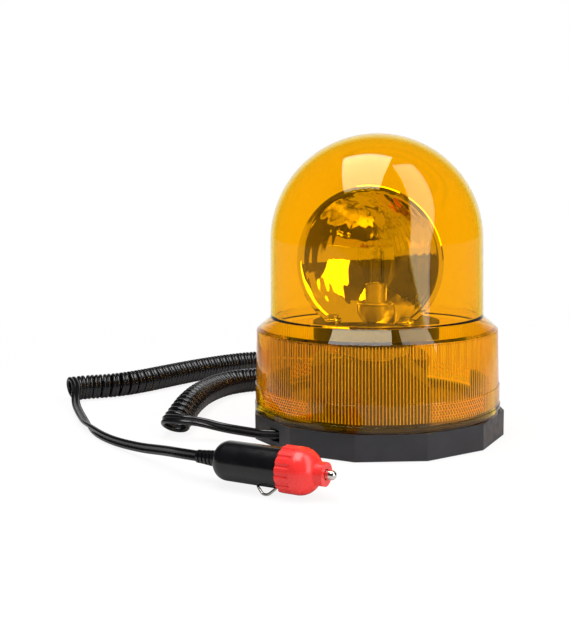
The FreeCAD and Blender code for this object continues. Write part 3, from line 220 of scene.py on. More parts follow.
def black_cover(name):
    """Shiny black vinyl or plastic with hardly any grain."""
    return plastic(name, (0.004, 0.004, 0.005), 0.20, (0.006, 0.006, 0.007), depth=0.002 * MM)


def let_lamps_through(shader, tint):
    """Rays from lamps pass straight through the piece, tinted, so that what it holds is lit."""
    through = shader.add("ShaderNodeBsdfTransparent")
    through.inputs["Color"].default_value = (*tint, 1)
    rays = shader.add("ShaderNodeLightPath")
    mix = shader.add("ShaderNodeMixShader")
    shader.join(rays.outputs["Is Shadow Ray"], mix.inputs["Fac"])
    shader.join(shader.main.outputs["BSDF"], mix.inputs[1])
    shader.join(through.outputs["BSDF"], mix.inputs[2])
    shader.join(mix.outputs["Shader"], shader.out.inputs["Surface"])


AMBER = (1.0, 0.64, 0.004)
AMBER_ONE_SURFACE = (1.0, 0.775, 0.08)
SCATTER_BETWEEN = 0.10
SCATTER_ON_FLUTES = 0.62
SCATTER_RISES = (0.3, 0.7)


def amber_lens():
    """Clear amber plastic, whose flutes scatter a part of the light that falls on them."""
    shader = Shader("lens_amber", AMBER, 0.02, IOR=1.42)
    shader.uneven(shader.noise(12 * MM), 0.012, 0.035)
    shader.bump(shader.noise(16 * MM, 1.0), 0.02 * MM)
    level = shader.level
    x, y, z = level.split(shader.place)
    wave = level.maths("COSINE", level.maths("MULTIPLY", level.maths("ARCTAN2", y, x), LENS_FLUTES))
    scatter = level.rising(wave, *SCATTER_RISES, SCATTER_BETWEEN, SCATTER_ON_FLUTES)
    on_inner_wall = level.maths("LESS_THAN", level.out_from_axis(x, y), (WALL_RADIUS - LENS_WALL / 2) * MM)
    fluted = level.maths("MULTIPLY", on_inner_wall, level.within(z, FLUTES_FROM * MM, FLUTES_TO * MM))
    clear = level.maths("SUBTRACT", 1.0, level.maths("MULTIPLY", fluted, scatter))
    shader.join(clear, shader.main.inputs["Transmission Weight"])
    let_lamps_through(shader, AMBER_ONE_SURFACE)
    return shader.material


def clear_glass(name, colour):
    """Thin lamp or fuse glass."""
    shader = Shader(name, colour, 0.01, IOR=1.45, Transmission_Weight=1.0)
    shader.uneven(shader.noise(3 * MM), 0.008, 0.03)
    let_lamps_through(shader, colour)
    return shader.material


def mirror_finish():
    """Vacuum-plated plastic: a mirror with long upright waves."""
    shader = Shader("mirror_finish", (0.93, 0.92, 0.90), 0.03, Metallic=1.0)
    shader.uneven(shader.noise(6 * MM), 0.015, 0.06)
    shader.bump(shader.noise(7 * MM, 1.0, (1, 1, 7)), 0.30 * MM)
    return shader.material


DECK_RADIUS = 61.5 * MM
DECK_LEVEL = 13.0 * MM
DECK_POLISH = 0.30


def base_finish():
    """Satin black plastic, polished on the deck inside the lens."""
    shader = Shader("base_plastic", (0.016, 0.016, 0.020), 0.42)
    shader.mottle(shader.noise(9 * MM), (0.021, 0.021, 0.026))
    shader.bump(shader.noise(0.35 * MM, 2.0), 0.01 * MM)
    level = shader.level
    x, y, z = level.split(shader.place)
    inside = level.maths("LESS_THAN", level.out_from_axis(x, y), DECK_RADIUS)
    on_deck = level.maths("MULTIPLY", inside, level.maths("GREATER_THAN", z, DECK_LEVEL))
    satin = shader.spread(shader.noise(4 * MM), 0.36, 0.50)
    rough = level.maths("SUBTRACT", satin, level.maths("MULTIPLY", on_deck, DECK_POLISH))
    shader.join(rough, shader.main.inputs["Roughness"])
    return shader.material


MATERIALS = {
    "base_plastic": base_finish(),
    "pad_rubber": plastic("pad_rubber", (0.02, 0.02, 0.02), 0.8, depth=0.03 * MM),
    "magnet": plastic("magnet", (0.06, 0.06, 0.065), 0.6, depth=0.02 * MM),
    "plated_steel": metal("plated_steel", (0.68, 0.68, 0.66), 0.3),
    "housing_plastic": plastic("housing_plastic", (0.03, 0.03, 0.032), 0.5),
    "motor_steel": metal("motor_steel", (0.6, 0.6, 0.6), 0.32, (1, 1, 12)),
    "holder_metal": metal("holder_metal", (0.80, 0.78, 0.74), 0.42, (1, 1, 8)),
    "brass": metal("brass", (0.82, 0.6, 0.28), 0.3),
    "lamp_glass": clear_glass("lamp_glass", (0.97, 0.98, 0.97)),
    "filament": metal("filament", (0.4, 0.38, 0.36), 0.4),
    "wire_cover": plastic("wire_cover", (0.3, 0.02, 0.015), 0.4),
    "cord_cover": black_cover("cord_cover"),
    "plug_black": black_cover("plug_black"),
    "cap_red": plastic("cap_red", (0.86, 0.035, 0.030), 0.25, (0.80, 0.026, 0.024), depth=0.004 * MM),
    "nickel": metal("nickel", (0.8, 0.77, 0.72), 0.16),
    "lens_amber": amber_lens(),
    "turntable_plastic": plastic("turntable_plastic", (0.022, 0.022, 0.024), 0.45),
    "gear_nylon": plastic("gear_nylon", (0.7, 0.68, 0.62), 0.5),
    "mirror_finish": mirror_finish(),
    "fuse_glass": clear_glass("fuse_glass", (0.95, 0.97, 0.97)),
}


# Meshes
def add_object(name, points, faces):
    """An object whose faces all look outwards."""
    mesh = bpy.data.meshes.new(name)
    mesh.from_pydata([tuple(p) for p in points], [], faces)
    mesh.update()
    turned = bmesh.new()
    turned.from_mesh(mesh)
    bmesh.ops.recalc_face_normals(turned, faces=turned.faces)
    turned.to_mesh(mesh)
    turned.free()
    made = bpy.data.objects.new(name, mesh)
    bpy.context.scene.collection.objects.link(made)
    return made


def finish_piece(piece, slot, body, replaced=(), crease=40):
    """Makes an object a smooth piece with sharp creases that rides on a body and has its slot's material."""
    piece.data.shade_smooth()
    piece.data.set_sharp_from_angle(angle=math.radians(crease))
    piece.data.materials.clear()
    piece.data.materials.append(MATERIALS[slot])
    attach(piece, body)
    if replaced:
        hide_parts(*replaced)
    return piece


def ring_faces(first, second, steps):
    """Quads between two rings of points, given by the index of their first point."""
    return [(first + i, first + (i + 1) % steps, second + (i + 1) % steps, second + i) for i in range(steps)]


def rounded(profile, radii, steps=5):
    """A profile of (radius, height) points with its corners rounded, each by its own radius. 0 is sharp."""
    line = []
    for i, (point, radius) in enumerate(zip(profile, radii)):
        if radius == 0:
            line.append(point)
            continue
        corner = Vector(point)
        before = (Vector(profile[i - 1]) - corner).normalized()
        after = (Vector(profile[i + 1]) - corner).normalized()
        half = before.angle(after) / 2
        start = corner + before * radius / math.tan(half)
        end = corner + after * radius / math.tan(half)
        for k in range(steps + 1):
            t = k / steps
            bent = start * (1 - t) ** 2 + corner * 2 * t * (1 - t) + end * t * t
            line.append((bent.x, bent.y))
    return line


def lathe(profile, steps, place=Matrix.Identity(4)):
    """Points and faces of a closed profile of (radius, height) turned about +Z, then put in place."""
    points, faces, rings = [], [], []
    for radius, height in profile:
        count = 1 if radius < 1e-7 else steps
        rings.append((len(points), count))
        for i in range(count):
            turn = 2 * math.pi * i / steps
            points.append(place @ Vector((radius * math.cos(turn), radius * math.sin(turn), height)))
    for (first, size), (second, other) in zip(rings, rings[1:] + rings[:1]):
        if size == other == steps:
            faces += ring_faces(first, second, steps)
        elif size == steps:
            faces += [(first + i, first + (i + 1) % steps, second) for i in range(steps)]
        elif other == steps:
            faces += [(first, second + (i + 1) % steps, second + i) for i in range(steps)]
    return points, faces


# The curly cord: a flat twin flex whose straight leads run into its coil. Its routes' points are millimetres
FLEX_WIDTH = 5.0 * MM
FLEX_THICKNESS = 2.5 * MM
COIL_RADIUS = 7.65 * MM
COIL_PITCH = 5.05 * MM
COIL_HEIGHT = 7.7
COIL_STEPS = 20
COIL_MEASURED_EVERY = 0.2 * MM
LINE_STEPS = 12
COIL_STARTS_AT = 90
COIL_ENDS_AT = 65
COIL_LEANS = 50
COIL_LEANS_UNTIL = 85 * MM
COIL_FACES_ASIDE = 18
COIL_OPENS = 0.55
BASE_RUN_IN = 8.0 * MM
PLUG_RUN_IN = 7.0 * MM
BASE_LEAD_TWISTS_OVER = 30 * MM
PLUG_LEAD_LIES_FLAT_AT = 15 * MM
PLUG_LEAD_TWISTS_FROM = 55 * MM
PLUG_LEAD_UPRIGHT_AT = 105 * MM
BASE_LEAD = [(-37.5, -37.5, 6.6), (-53, -40.6, 6.6), (-66, -34.4, 6.9), (-79, -29.4, 7.6), (-90.5, -27.2, 10)]
COIL = [
    (-105.7, -20.5), (-106.6, 7.3), (-106, 36.1), (-104.1, 58), (-98.5, 77.3), (-91, 90), (-78, 98.6),
    (-58, 102), (-32, 103.5), (-6, 104.5), (16, 110), (29, 124), (31, 143), (20, 159), (0, 168),
    (-26, 172.5), (-55, 172), (-87.4, 163.4), (-105.4, 149.4), (-122, 131.2), (-138, 109.5),
    (-149.5, 93), (-161, 80.5), (-174, 74), (-183.5, 71), (-188.8, 66),
]
PLUG_LEAD = [
    (-180, 43, 4.6), (-169.4, 18.8, 2.9), (-153.6, -14.5, 2.7), (-135.7, -39.1, 2.9),
    (-115, -59.4, 4.6), (-98.5, -77, 8.2), (-86.9, -91.2, 10.7), (-75.5, -97.4, 11),
]


def smooth_line(route):
    """Points along the NURBS spline that has the route as its control points."""
    curve = bpy.data.curves.new("route", "CURVE")
    curve.dimensions = "3D"
    spline = curve.splines.new("NURBS")
    spline.points.add(len(route) - 1)
    for point, place in zip(spline.points, route):
        point.co = (*place, 1)
    spline.order_u = 3
    spline.use_endpoint_u = True
    spline.resolution_u = LINE_STEPS
    carrier = bpy.data.objects.new("route", curve)
    mesh = bpy.data.meshes.new_from_object(carrier)
    line = [vertex.co.copy() for vertex in mesh.vertices]
    bpy.data.meshes.remove(mesh)
    bpy.data.objects.remove(carrier)
    bpy.data.curves.remove(curve)
    return line


def distances(line):
    """How far along the line each of its points is."""
    far = [0.0]
    for a, b in zip(line, line[1:]):
        far.append(far[-1] + (b - a).length)
    return far


def directions(line):
    """Which way the line goes at each of its points."""
    legs = [(b - a).normalized() for a, b in zip(line, line[1:])]
    inner = [(a + b).normalized() for a, b in zip(legs, legs[1:])]
    return [legs[0], *inner, legs[-1]]


def smoothstep(value, start, end):
    """Goes smoothly from 0 to 1 as the value goes from start to end."""
    t = min(1.0, max(0.0, (value - start) / (end - start)))
    return t * t * (3 - 2 * t)


def lean_at(reach):
    """How far the turns at this distance from the coil's near end lean toward that end."""
    return math.radians(COIL_LEANS) * (1 - smoothstep(reach, 0, COIL_LEANS_UNTIL))


def bends(line, window=6):
    """How sharply the line turns about each of its points, evened out over a window of them."""
    far, along = distances(line), directions(line)
    sharp = []
    for i in range(len(line)):
        low, high = max(0, i - window), min(len(line) - 1, i + window)
        sharp.append(along[low].angle(along[high]) / (far[high] - far[low]))
    return sharp


def wound(line):
    """The coil's turns about its middle line: points, and at each the way through the middle of its turn.

    Where the coil bends or its lean changes, the turns touch on the inner side and open on the outer."""
    far, along, sharp = distances(line), directions(line), bends(line)
    middle_radius = COIL_RADIUS - FLEX_THICKNESS / 2
    step = COIL_MEASURED_EVERY

    def place_at(reach):
        here = min(bisect.bisect_right(far, reach), len(far) - 1) - 1
        share = (reach - far[here]) / (far[here + 1] - far[here])
        bend = sharp[here] + (sharp[here + 1] - sharp[here]) * share
        lean = lean_at(reach)
        twisting = abs(lean_at(reach + step) - lean) / step
        room = (1 - middle_radius * (bend * COIL_OPENS + twisting)) * math.cos(lean)
        return line[here].lerp(line[here + 1], share), along[here].lerp(along[here + 1], share), lean, room

    reaches = [step * k for k in range(int(far[-1] / step))]
    capacity = sum(place_at(reach)[3] for reach in reaches) * step / COIL_PITCH
    part_turn = (COIL_STARTS_AT - COIL_ENDS_AT) / 360
    turns = round(capacity - part_turn) + part_turn
    pitch = COIL_PITCH * capacity / turns
    points, widths, reach = [], [], 0.0
    for k in range(int(turns * COIL_STEPS) + 1):
        centre, way, lean, room = place_at(min(reach, far[-1]))
        facing = Matrix.Rotation(-COIL_FACES_ASIDE / COIL_LEANS * lean, 3, "Z")
        way = facing @ way.normalized()
        top = UP * math.cos(lean) - way * math.sin(lean)
        aside = UP.cross(way).normalized()
        lowest = COIL_RADIUS * math.cos(lean) + FLEX_WIDTH / 2 * math.sin(lean)
        centre.z = max(centre.z - COIL_RADIUS + lowest, lowest)
        turn = math.radians(COIL_STARTS_AT - 360 * k / COIL_STEPS)
        points.append(centre + (aside * math.cos(turn) + top * math.sin(turn)) * middle_radius)
        widths.append(way * math.cos(lean) + UP * math.sin(lean))
        reach += pitch / room / COIL_STEPS
    return points, widths


def flex_section():
    """The outline of the flat twin flex: two round cores joined by a thin web, across and through."""
    radius = FLEX_THICKNESS / 2
    shift = FLEX_WIDTH / 2 - radius
    right_side = [math.radians(a) for a in range(-154, 155, 28)]
    outline = [(shift + radius * math.cos(a), radius * math.sin(a)) for a in right_side]
    return outline + [(-x, -y) for x, y in outline]


def sweep(line, widths, section):
    """Points and faces of a section drawn along a line, its first axis held near the width's direction."""
    points, faces, size = [], [], len(section)
    for place, way, width in zip(line, directions(line), widths):
        across = (width - way * width.dot(way)).normalized()
        through = way.cross(across)
        points += [place + across * x + through * y for x, y in section]
    for row in range(len(line) - 1):
        faces += ring_faces(row * size, (row + 1) * size, size)
    last = (len(line) - 1) * size
    faces.append(tuple(range(size - 1, -1, -1)))
    faces.append(tuple(range(last, last + size)))
    return points, faces


def cord_line():
    """The flex's middle line from the clamp to the plug, and at each point the way across the flex."""
    coil, coil_widths = wound(smooth_line([Vector((x, y, COIL_HEIGHT)) * MM for x, y in COIL]))
    into, out_of = (coil[1] - coil[0]).normalized(), (coil[-1] - coil[-2]).normalized()
    first = [Vector(p) * MM for p in BASE_LEAD] + [coil[0] - into * BASE_RUN_IN, coil[0]]
    last = [coil[-1], coil[-1] + out_of * PLUG_RUN_IN] + [Vector(p) * MM for p in PLUG_LEAD]
    base_lead, plug_lead = smooth_line(first), smooth_line(last)
    far = distances(base_lead)
    twist_from = far[-1] - BASE_LEAD_TWISTS_OVER
    base_widths = [UP.lerp(coil_widths[0], smoothstep(d, twist_from, far[-1])) for d in far]
    plug_widths = []
    for d, way in zip(distances(plug_lead), directions(plug_lead)):
        level = way.cross(UP).normalized()
        flat = coil_widths[-1].lerp(level, smoothstep(d, 0, PLUG_LEAD_LIES_FLAT_AT))
        plug_widths.append(flat.lerp(UP, smoothstep(d, PLUG_LEAD_TWISTS_FROM, PLUG_LEAD_UPRIGHT_AT)))
    line = base_lead[:-1] + coil + plug_lead[1:]
    return line, base_widths[:-1] + coil_widths + plug_widths[1:]


def add_cord():
    """One long flex from the clamp in the base, through the coil, into the plug's strain relief."""
    line, widths = cord_line()
    cord = add_object("curly_flex", *sweep(line, widths, flex_section()))
    finish_piece(cord, "cord_cover", "base", ("cord_base_lead", "curly_cord", "cord_plug_lead"), crease=60)


# The lens, in millimetres until its points are made
FLUTE_STEPS = 6
FLUTE_DEPTH = 0.22
FLUTE_RIDGE_ABOVE = 0.9
FLUTE_END_OUTSIDE = 0.4
FLUTE_END_INSIDE = 0.1
FOOT_RADIUS = 65.0
FOOT_TOP = 17.0
BAND_RADIUS = 64.6
BAND_TOP = 27.3
SHOULDER = (63.5, 55.9)
NECK = (56.0, 62.3)
DOME_RADIUS = 55.5
DOME_SPRING = 101.8
LENS_BOTTOM = 13.5
RIB_TURNS = (41.1, 131.1, 221.1, 311.1)
RIB_SPAN = 32.0
RIB_DEPTH = 1.2
RIB_LOWS = (19.0, 21.65, 24.3)
RIB_HEIGHT = 1.3
RIB_EDGE = 0.08
WALL_MIDDLE = 41.0
BORE_ABOVE_SHOULDER = 0.99
BORE_START_DROP = 0.6
DOME_STEPS = 28


def dome_arc(radius):
    """Profile points from the spring of the dome to just under its top."""
    angles = [math.pi / 2 * k / DOME_STEPS for k in range(1, DOME_STEPS)]
    return [(radius * math.cos(a), DOME_SPRING + radius * math.sin(a)) for a in angles]


def lens_outside():
    """The outside from the bottom edge over the foot, the band, the shoulder and the neck to the dome."""
    corners = [
        (FOOT_RADIUS, LENS_BOTTOM), (FOOT_RADIUS, FOOT_TOP), (BAND_RADIUS, FOOT_TOP), (BAND_RADIUS, BAND_TOP),
        (WALL_RADIUS, BAND_TOP), SHOULDER, NECK, (DOME_RADIUS, DOME_SPRING),
    ]
    radii = [0, 0.18, 0.1, 0.18, 0.1, 0.45, 0.5, 0]
    return rounded(corners, radii) + dome_arc(DOME_RADIUS)


def lens_inside():
    """The fluted wall, with a row of points at each edge of its flutes and ribs."""
    inner = WALL_RADIUS - LENS_WALL
    heights = [LENS_BOTTOM, FLUTES_FROM - FLUTE_END_OUTSIDE, FLUTES_FROM + FLUTE_END_INSIDE]
    for low in RIB_LOWS:
        heights += [low, low + RIB_EDGE, low + RIB_HEIGHT - RIB_EDGE, low + RIB_HEIGHT]
    rows = [(inner, height) for height in heights + [BAND_TOP]]
    slope = (WALL_RADIUS - SHOULDER[0]) / (SHOULDER[1] - BAND_TOP)
    for height in (WALL_MIDDLE, FLUTES_TO - FLUTE_END_INSIDE, FLUTES_TO + FLUTE_END_OUTSIDE):
        rows.append((inner - slope * (height - BAND_TOP), height))
    return rows


def lens_bore():
    """The inside above the flutes: under the shoulder, up the neck and over the dome."""
    wall, neck = SHOULDER[0] - LENS_WALL, NECK[0] - LENS_WALL
    under_shoulder = SHOULDER[1] + BORE_ABOVE_SHOULDER
    corners = [
        (wall, under_shoulder - BORE_START_DROP), (wall, under_shoulder),
        (neck, NECK[1] + BORE_ABOVE_SHOULDER), (DOME_RADIUS - LENS_WALL, DOME_SPRING),
    ]
    return rounded(corners, [0, 0.5, 1.0, 0]) + dome_arc(DOME_RADIUS - LENS_WALL)


def flute_radius(radius, height, turn):
    """The inner wall's radius, with its narrow flutes and, in four stretches, three ribs."""
    on_ridge = math.cos(turn * LENS_FLUTES) > FLUTE_RIDGE_ABOVE
    if FLUTES_FROM < height < FLUTES_TO and on_ridge:
        radius -= FLUTE_DEPTH
    degrees = math.degrees(turn)
    beside = min(abs((degrees - middle + 180) % 360 - 180) for middle in RIB_TURNS)
    in_rib = any(low + RIB_EDGE / 2 < height < low + RIB_HEIGHT - RIB_EDGE / 2 for low in RIB_LOWS)
    if beside < RIB_SPAN / 2 and in_rib:
        radius -= RIB_DEPTH
    return radius


def add_lens():
    """The lens in one shell. Its fluted wall has more points around than the rest, and seams join the two."""
    fine = LENS_FLUTES * FLUTE_STEPS
    points, faces = [], []

    def ring(radius_at, height, count):
        """Adds a ring of points and tells which is its first."""
        start = len(points)
        for i in range(count):
            turn = 2 * math.pi * i / count
            radius = radius_at(turn)
            points.append(Vector((radius * math.cos(turn), radius * math.sin(turn), height)) * MM)
        return start

    def stack(rings, count):
        """Faces between each ring and the next."""
        for low, high in zip(rings, rings[1:]):
            faces.extend(ring_faces(low, high, count))

    def seam(fine_ring, coarse_ring):
        """One face for each flute, from its points on the fine ring to two on the coarse one."""
        for i in range(LENS_FLUTES):
            arc = [fine_ring + (i * FLUTE_STEPS + k) % fine for k in range(FLUTE_STEPS + 1)]
            faces.append((coarse_ring + i, *arc, coarse_ring + (i + 1) % LENS_FLUTES))

    outside = [ring(lambda turn, r=r: r, z, LENS_FLUTES) for r, z in lens_outside()]
    fluted = [ring(lambda turn, r=r, z=z: flute_radius(r, z, turn), z, fine) for r, z in lens_inside()]
    bore = [ring(lambda turn, r=r: r, z, LENS_FLUTES) for r, z in lens_bore()]
    stack(outside, LENS_FLUTES)
    stack(fluted, fine)
    stack(bore, LENS_FLUTES)
    seam(fluted[0], outside[0])
    seam(fluted[-1], bore[0])
    for last_ring, radius in ((outside[-1], DOME_RADIUS), (bore[-1], DOME_RADIUS - LENS_WALL)):
        top = len(points)
        points.append(Vector((0, 0, DOME_SPRING + radius)) * MM)
        faces.extend((last_ring + i, last_ring + (i + 1) % LENS_FLUTES, top) for i in range(LENS_FLUTES))
    finish_piece(add_object("amber_lens", points, faces), "lens_amber", "lens", ("lens",), crease=14)


# The mirror, in millimetres until its points are made
MIRROR_FACING = 254.0
MIRROR_CENTRE = 91.5
MIRROR_MOUTH = 36.3
MIRROR_AHEAD = 15.0
MIRROR_LIP = 39.0
MIRROR_LIP_THICKNESS = 1.6
MIRROR_WALL = 1.2
WALL_AT_LIP = 0.9
BACK_NARROWS = 1.1
MIRROR_STEPS = 160
DISH_STEPS = 32
LIP_RISE = 0.35
LIP_FRONT_BEVEL = 0.5
LIP_EDGE = 0.4
TURNTABLE_TOP = 59.5
HUB_HOLE = 9.4
HUB_TOP = 69.2
EAR_AHEAD = 13.5
EAR_ASIDE = 19.6
EAR_RADIUS = 4.6
EAR_HEIGHT = 2.2
EAR_ROUNDING = 0.8
BELOW_REACH = 80.0
SLEEVE_CLEARANCE = 0.05
SLEEVE_WALL = 0.3
SLEEVE_FOOT_ABOVE = 0.1
RIM_OVERHANG = 0.5
RIM_HEIGHT = 1.0
RIM_SLOPE = 0.3
RIM_ROUNDING = 0.3
RIM_COVERS = 3.2
RIM_TOP_ABOVE = 0.1
RIM_GAP = 0.02
SLEEVE_STEPS = 96


def mirror_profile():
    """Radius and place along the mirror's own axis, from the bottom of the dish round its rolled lip."""
    focal = (math.hypot(MIRROR_AHEAD, MIRROR_MOUTH) - MIRROR_AHEAD) / 2
    dish = []
    for step in range(DISH_STEPS + 1):
        r = MIRROR_MOUTH * step / DISH_STEPS
        dish.append((r, r * r / (4 * focal) - focal))
    front, behind = MIRROR_AHEAD + LIP_RISE, MIRROR_AHEAD - MIRROR_LIP_THICKNESS
    lip = [
        (MIRROR_MOUTH + LIP_EDGE, front), (MIRROR_LIP - LIP_FRONT_BEVEL, front),
        (MIRROR_LIP, front - LIP_FRONT_BEVEL), (MIRROR_LIP, behind + LIP_EDGE),
        (MIRROR_LIP - LIP_EDGE, behind), (MIRROR_MOUTH + MIRROR_WALL * WALL_AT_LIP, behind),
    ]
    widens = MIRROR_WALL / (MIRROR_MOUTH * BACK_NARROWS)
    back = [(r * (1 + widens), x - MIRROR_WALL) for r, x in reversed(dish[:-2])]
    return dish + lip + back


def boolean(piece, other, operation):
    """Changes the piece by the other, which is then removed."""
    modifier = piece.modifiers.new("cut", "BOOLEAN")
    modifier.operation = operation
    modifier.solver = "EXACT"
    modifier.object = other
    bpy.context.view_layer.update()
    shaped = bpy.data.meshes.new_from_object(piece.evaluated_get(bpy.context.evaluated_depsgraph_get()))
    piece.modifiers.clear()
    piece.data = shaped
    bpy.data.objects.remove(other)


def metres(profile):
    return [(r * MM, z * MM) for r, z in profile]


def disc(radius, height, steps, place=Matrix.Identity(4), rounding=0.0):
    """A round block that stands on the ground of its place, its upper edge rounded."""
    profile = rounded([(0, 0), (radius, 0), (radius, height), (0, height)], [0, 0, rounding, 0])
    return add_object("block", *lathe(metres(profile), steps, place))


def add_mirror():
    """The plated dish, cut off at the turntable and open round the hub, with an ear at each side of it."""
    facing = math.radians(MIRROR_FACING)
    ahead = Vector((math.cos(facing), math.sin(facing), 0))
    aside = UP.cross(ahead)
    place = Matrix.Translation((0, 0, MIRROR_CENTRE * MM)) @ Matrix((aside, UP, ahead)).transposed().to_4x4()
    mirror = add_object("chromed_mirror", *lathe(metres(mirror_profile()), MIRROR_STEPS, place))
    boolean(mirror, disc(BELOW_REACH, TURNTABLE_TOP, 8), "DIFFERENCE")
    boolean(mirror, disc(HUB_HOLE, HUB_TOP, 64), "DIFFERENCE")
    for side in (-1, 1):
        foot = (ahead * EAR_AHEAD + aside * EAR_ASIDE * side + UP * TURNTABLE_TOP) * MM
        ear = disc(EAR_RADIUS, EAR_HEIGHT, 40, Matrix.Translation(foot), EAR_ROUNDING)
        boolean(mirror, ear, "UNION")
    finish_piece(mirror, "mirror_finish", "turntable", ("reflector",), crease=35)


def add_hub_sleeve():
    """The plated sleeve that stands round the turntable's hub, under the lamp, its rim over the hub's top."""
    outer, foot = HUB_HOLE - SLEEVE_CLEARANCE, TURNTABLE_TOP + SLEEVE_FOOT_ABOVE
    inner, rim = outer - SLEEVE_WALL, HUB_HOLE + RIM_OVERHANG
    top = HUB_TOP + RIM_TOP_ABOVE
    profile = [
        (inner, foot), (outer, foot), (outer, top - RIM_HEIGHT - RIM_SLOPE), (rim, top - RIM_HEIGHT),
        (rim, top), (HUB_HOLE - RIM_COVERS, top), (HUB_HOLE - RIM_COVERS, HUB_TOP + RIM_GAP),
        (inner, HUB_TOP + RIM_GAP),
    ]
    radii = [0, 0, RIM_ROUNDING, RIM_ROUNDING, RIM_ROUNDING, 0, 0, 0]
    points, faces = lathe(metres(rounded(profile, radii)), SLEEVE_STEPS)
    finish_piece(add_object("hub_sleeve", points, faces), "holder_metal", "turntable")


# CAD nodes that keep their shape get their slot's material
def dress_nodes():
    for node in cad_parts.values():
        slots = [m.name.split(".")[0] for m in node.data.materials]
        for index, slot in enumerate(slots):
            node.data.materials[index] = MATERIALS[slot]


# Studio
FLOOR_SIZE = 8.0
FLOOR_GREY = (0.8, 0.8, 0.8, 1)
WHITE = (1, 1, 1, 1)
SOFTBOXES = {
    "top_softbox": {"centre": (-0.188, -0.171, 1.23), "long": (0.18, 0.97, 0.16), "wide": (0.97, -0.21, 0.15),
                    "size": (0.74, 1.0), "power": 14.5},
    "side_softbox": {"centre": (0.53, -0.31, 0.62), "long": (-0.25, 0.64, 0.98), "wide": (0.27, 0.25, -0.05),
                     "size": (0.36, 1.42), "power": 6.0},
}


def add_softbox(name, centre, long, wide, size, power):
    """A rectangular lamp that faces the beacon, its long side along the given direction."""
    data = bpy.data.lights.new(name, "AREA")
    data.shape = "RECTANGLE"
    data.size, data.size_y = size
    data.energy = power
    lamp = bpy.data.objects.new(name, data)
    bpy.context.scene.collection.objects.link(lamp)
    up = Vector(long).normalized()
    side = Vector(wide)
    side = (side - up * side.dot(up)).normalized()
    back = side.cross(up)
    if back.dot(Vector(centre)) < 0:
        side, back = -side, -back
    lamp.matrix_world = Matrix.Translation(centre) @ Matrix((side, up, back)).transposed().to_4x4()


# Camera rays see the floor and the room white. Gloss and glass see them white behind the beacon, by how far
# a direction's Y is behind, and dim before it, where the studio is dark. Gloss sees the lit floor close by.
FLOOR_SEEN = 0.88
FLOOR_WHITE_FROM = 0.22
FLOOR_WHITE_TO = 0.55
FLOOR_NEAR = 0.45
FLOOR_BEFORE = 0.22
FLOOR_IN_GLASS = 0.80
FLOOR_DIMS_FROM = 0.24
FLOOR_DIMS_TO = 0.46
ROOM_BEFORE = 0.03
ROOM_BEFORE_GLASS = 0.16
ROOM_BEHIND = 1.0
ROOM_IN_GLOSS = (0.72, 0.97)
ROOM_IN_GLASS = (-0.45, 0.30)
ROOM_FILL = 0.30


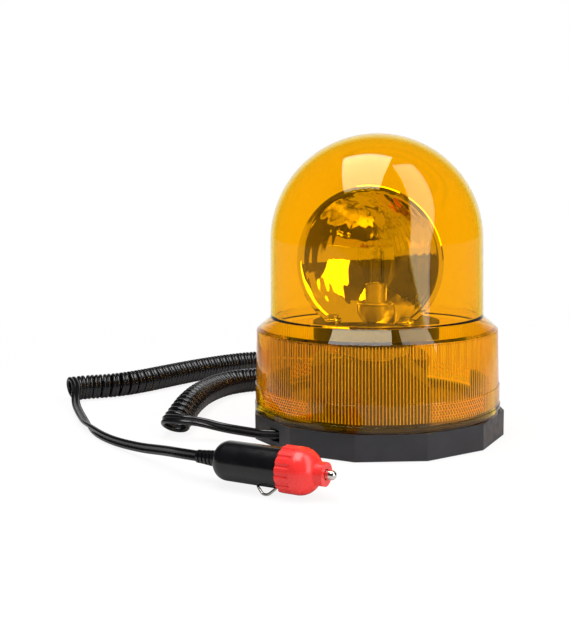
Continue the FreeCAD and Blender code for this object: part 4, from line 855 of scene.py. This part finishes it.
def add_floor():
    """A pale floor that keeps the beacon's shadow and turns to plain white further out."""
    half = FLOOR_SIZE / 2
    mesh = bpy.data.meshes.new("floor")
    corners = [(-half, -half, 0), (half, -half, 0), (half, half, 0), (-half, half, 0)]
    mesh.from_pydata(corners, [], [(0, 1, 2, 3)])
    material = bpy.data.materials.new("floor")
    material.use_nodes = True
    tree = material.node_tree
    tree.nodes.clear()
    level = Level(tree)
    matte = tree.nodes.new("ShaderNodeBsdfDiffuse")
    matte.inputs["Color"].default_value = FLOOR_GREY
    rays = tree.nodes.new("ShaderNodeLightPath").outputs
    place = tree.nodes.new("ShaderNodeTexCoord").outputs["Object"]
    far = level.length(place)
    behind = level.maths("DIVIDE", level.split(place)[1], far)
    in_gloss = level.rising(behind, *ROOM_IN_GLOSS, FLOOR_BEFORE, 1.0)
    in_glass = level.rising(behind, *ROOM_IN_GLASS, FLOOR_IN_GLASS, 1.0)
    in_glass = level.maths("MULTIPLY", rays["Is Transmission Ray"], in_glass)
    strength = level.maths("MAXIMUM", level.maths("MAXIMUM", in_gloss, in_glass), rays["Is Camera Ray"])
    to_camera = level.rising(far, FLOOR_WHITE_FROM, FLOOR_WHITE_TO, FLOOR_SEEN, 1.0)
    to_camera = level.maths("MULTIPLY", rays["Is Camera Ray"], to_camera)
    to_gloss = level.rising(far, FLOOR_DIMS_FROM, FLOOR_DIMS_TO, FLOOR_NEAR, 1.0)
    to_gloss = level.maths("MULTIPLY", rays["Is Glossy Ray"], to_gloss)
    to_gloss = level.maths("MAXIMUM", to_gloss, rays["Is Transmission Ray"])
    white = tree.nodes.new("ShaderNodeEmission")
    white.inputs["Color"].default_value = WHITE
    tree.links.new(strength, white.inputs["Strength"])
    mix = tree.nodes.new("ShaderNodeMixShader")
    out = tree.nodes.new("ShaderNodeOutputMaterial")
    tree.links.new(level.maths("MAXIMUM", to_camera, to_gloss), mix.inputs["Fac"])
    tree.links.new(matte.outputs["BSDF"], mix.inputs[1])
    tree.links.new(white.outputs["Emission"], mix.inputs[2])
    tree.links.new(mix.outputs["Shader"], out.inputs["Surface"])
    mesh.materials.append(material)
    floor = bpy.data.objects.new("floor", mesh)
    bpy.context.scene.collection.objects.link(floor)


def set_world():
    """White to the camera, white behind the beacon and dim before it to gloss and glass, and an even fill."""
    world = bpy.data.worlds.new("studio")
    bpy.context.scene.world = world
    world.use_nodes = True
    tree = world.node_tree
    tree.nodes.clear()
    level = Level(tree)
    rays = tree.nodes.new("ShaderNodeLightPath").outputs
    behind = level.split(tree.nodes.new("ShaderNodeTexCoord").outputs["Generated"])[1]
    in_gloss = level.rising(behind, *ROOM_IN_GLOSS, ROOM_BEFORE, ROOM_BEHIND)
    in_glass = level.rising(behind, *ROOM_IN_GLASS, ROOM_BEFORE_GLASS, ROOM_BEHIND)
    in_glass = level.maths("MULTIPLY", rays["Is Transmission Ray"], in_glass)
    room = level.maths("MAXIMUM", in_gloss, in_glass)
    fill = level.maths("MULTIPLY", rays["Is Diffuse Ray"], ROOM_FILL)
    not_diffuse = level.maths("SUBTRACT", 1.0, rays["Is Diffuse Ray"])
    lit = level.maths("ADD", fill, level.maths("MULTIPLY", not_diffuse, room))
    background = tree.nodes.new("ShaderNodeBackground")
    background.inputs["Color"].default_value = WHITE
    tree.links.new(level.maths("MAXIMUM", lit, rays["Is Camera Ray"]), background.inputs["Strength"])
    out = tree.nodes.new("ShaderNodeOutputWorld")
    tree.links.new(background.outputs["Background"], out.inputs["Surface"])


add_camera()
dress_nodes()
add_cord()
add_lens()
add_mirror()
add_hub_sleeve()
add_floor()
set_world()
for lamp_name, lamp in SOFTBOXES.items():
    add_softbox(lamp_name, **lamp)
bpy.context.scene.view_settings.view_transform = "Standard"
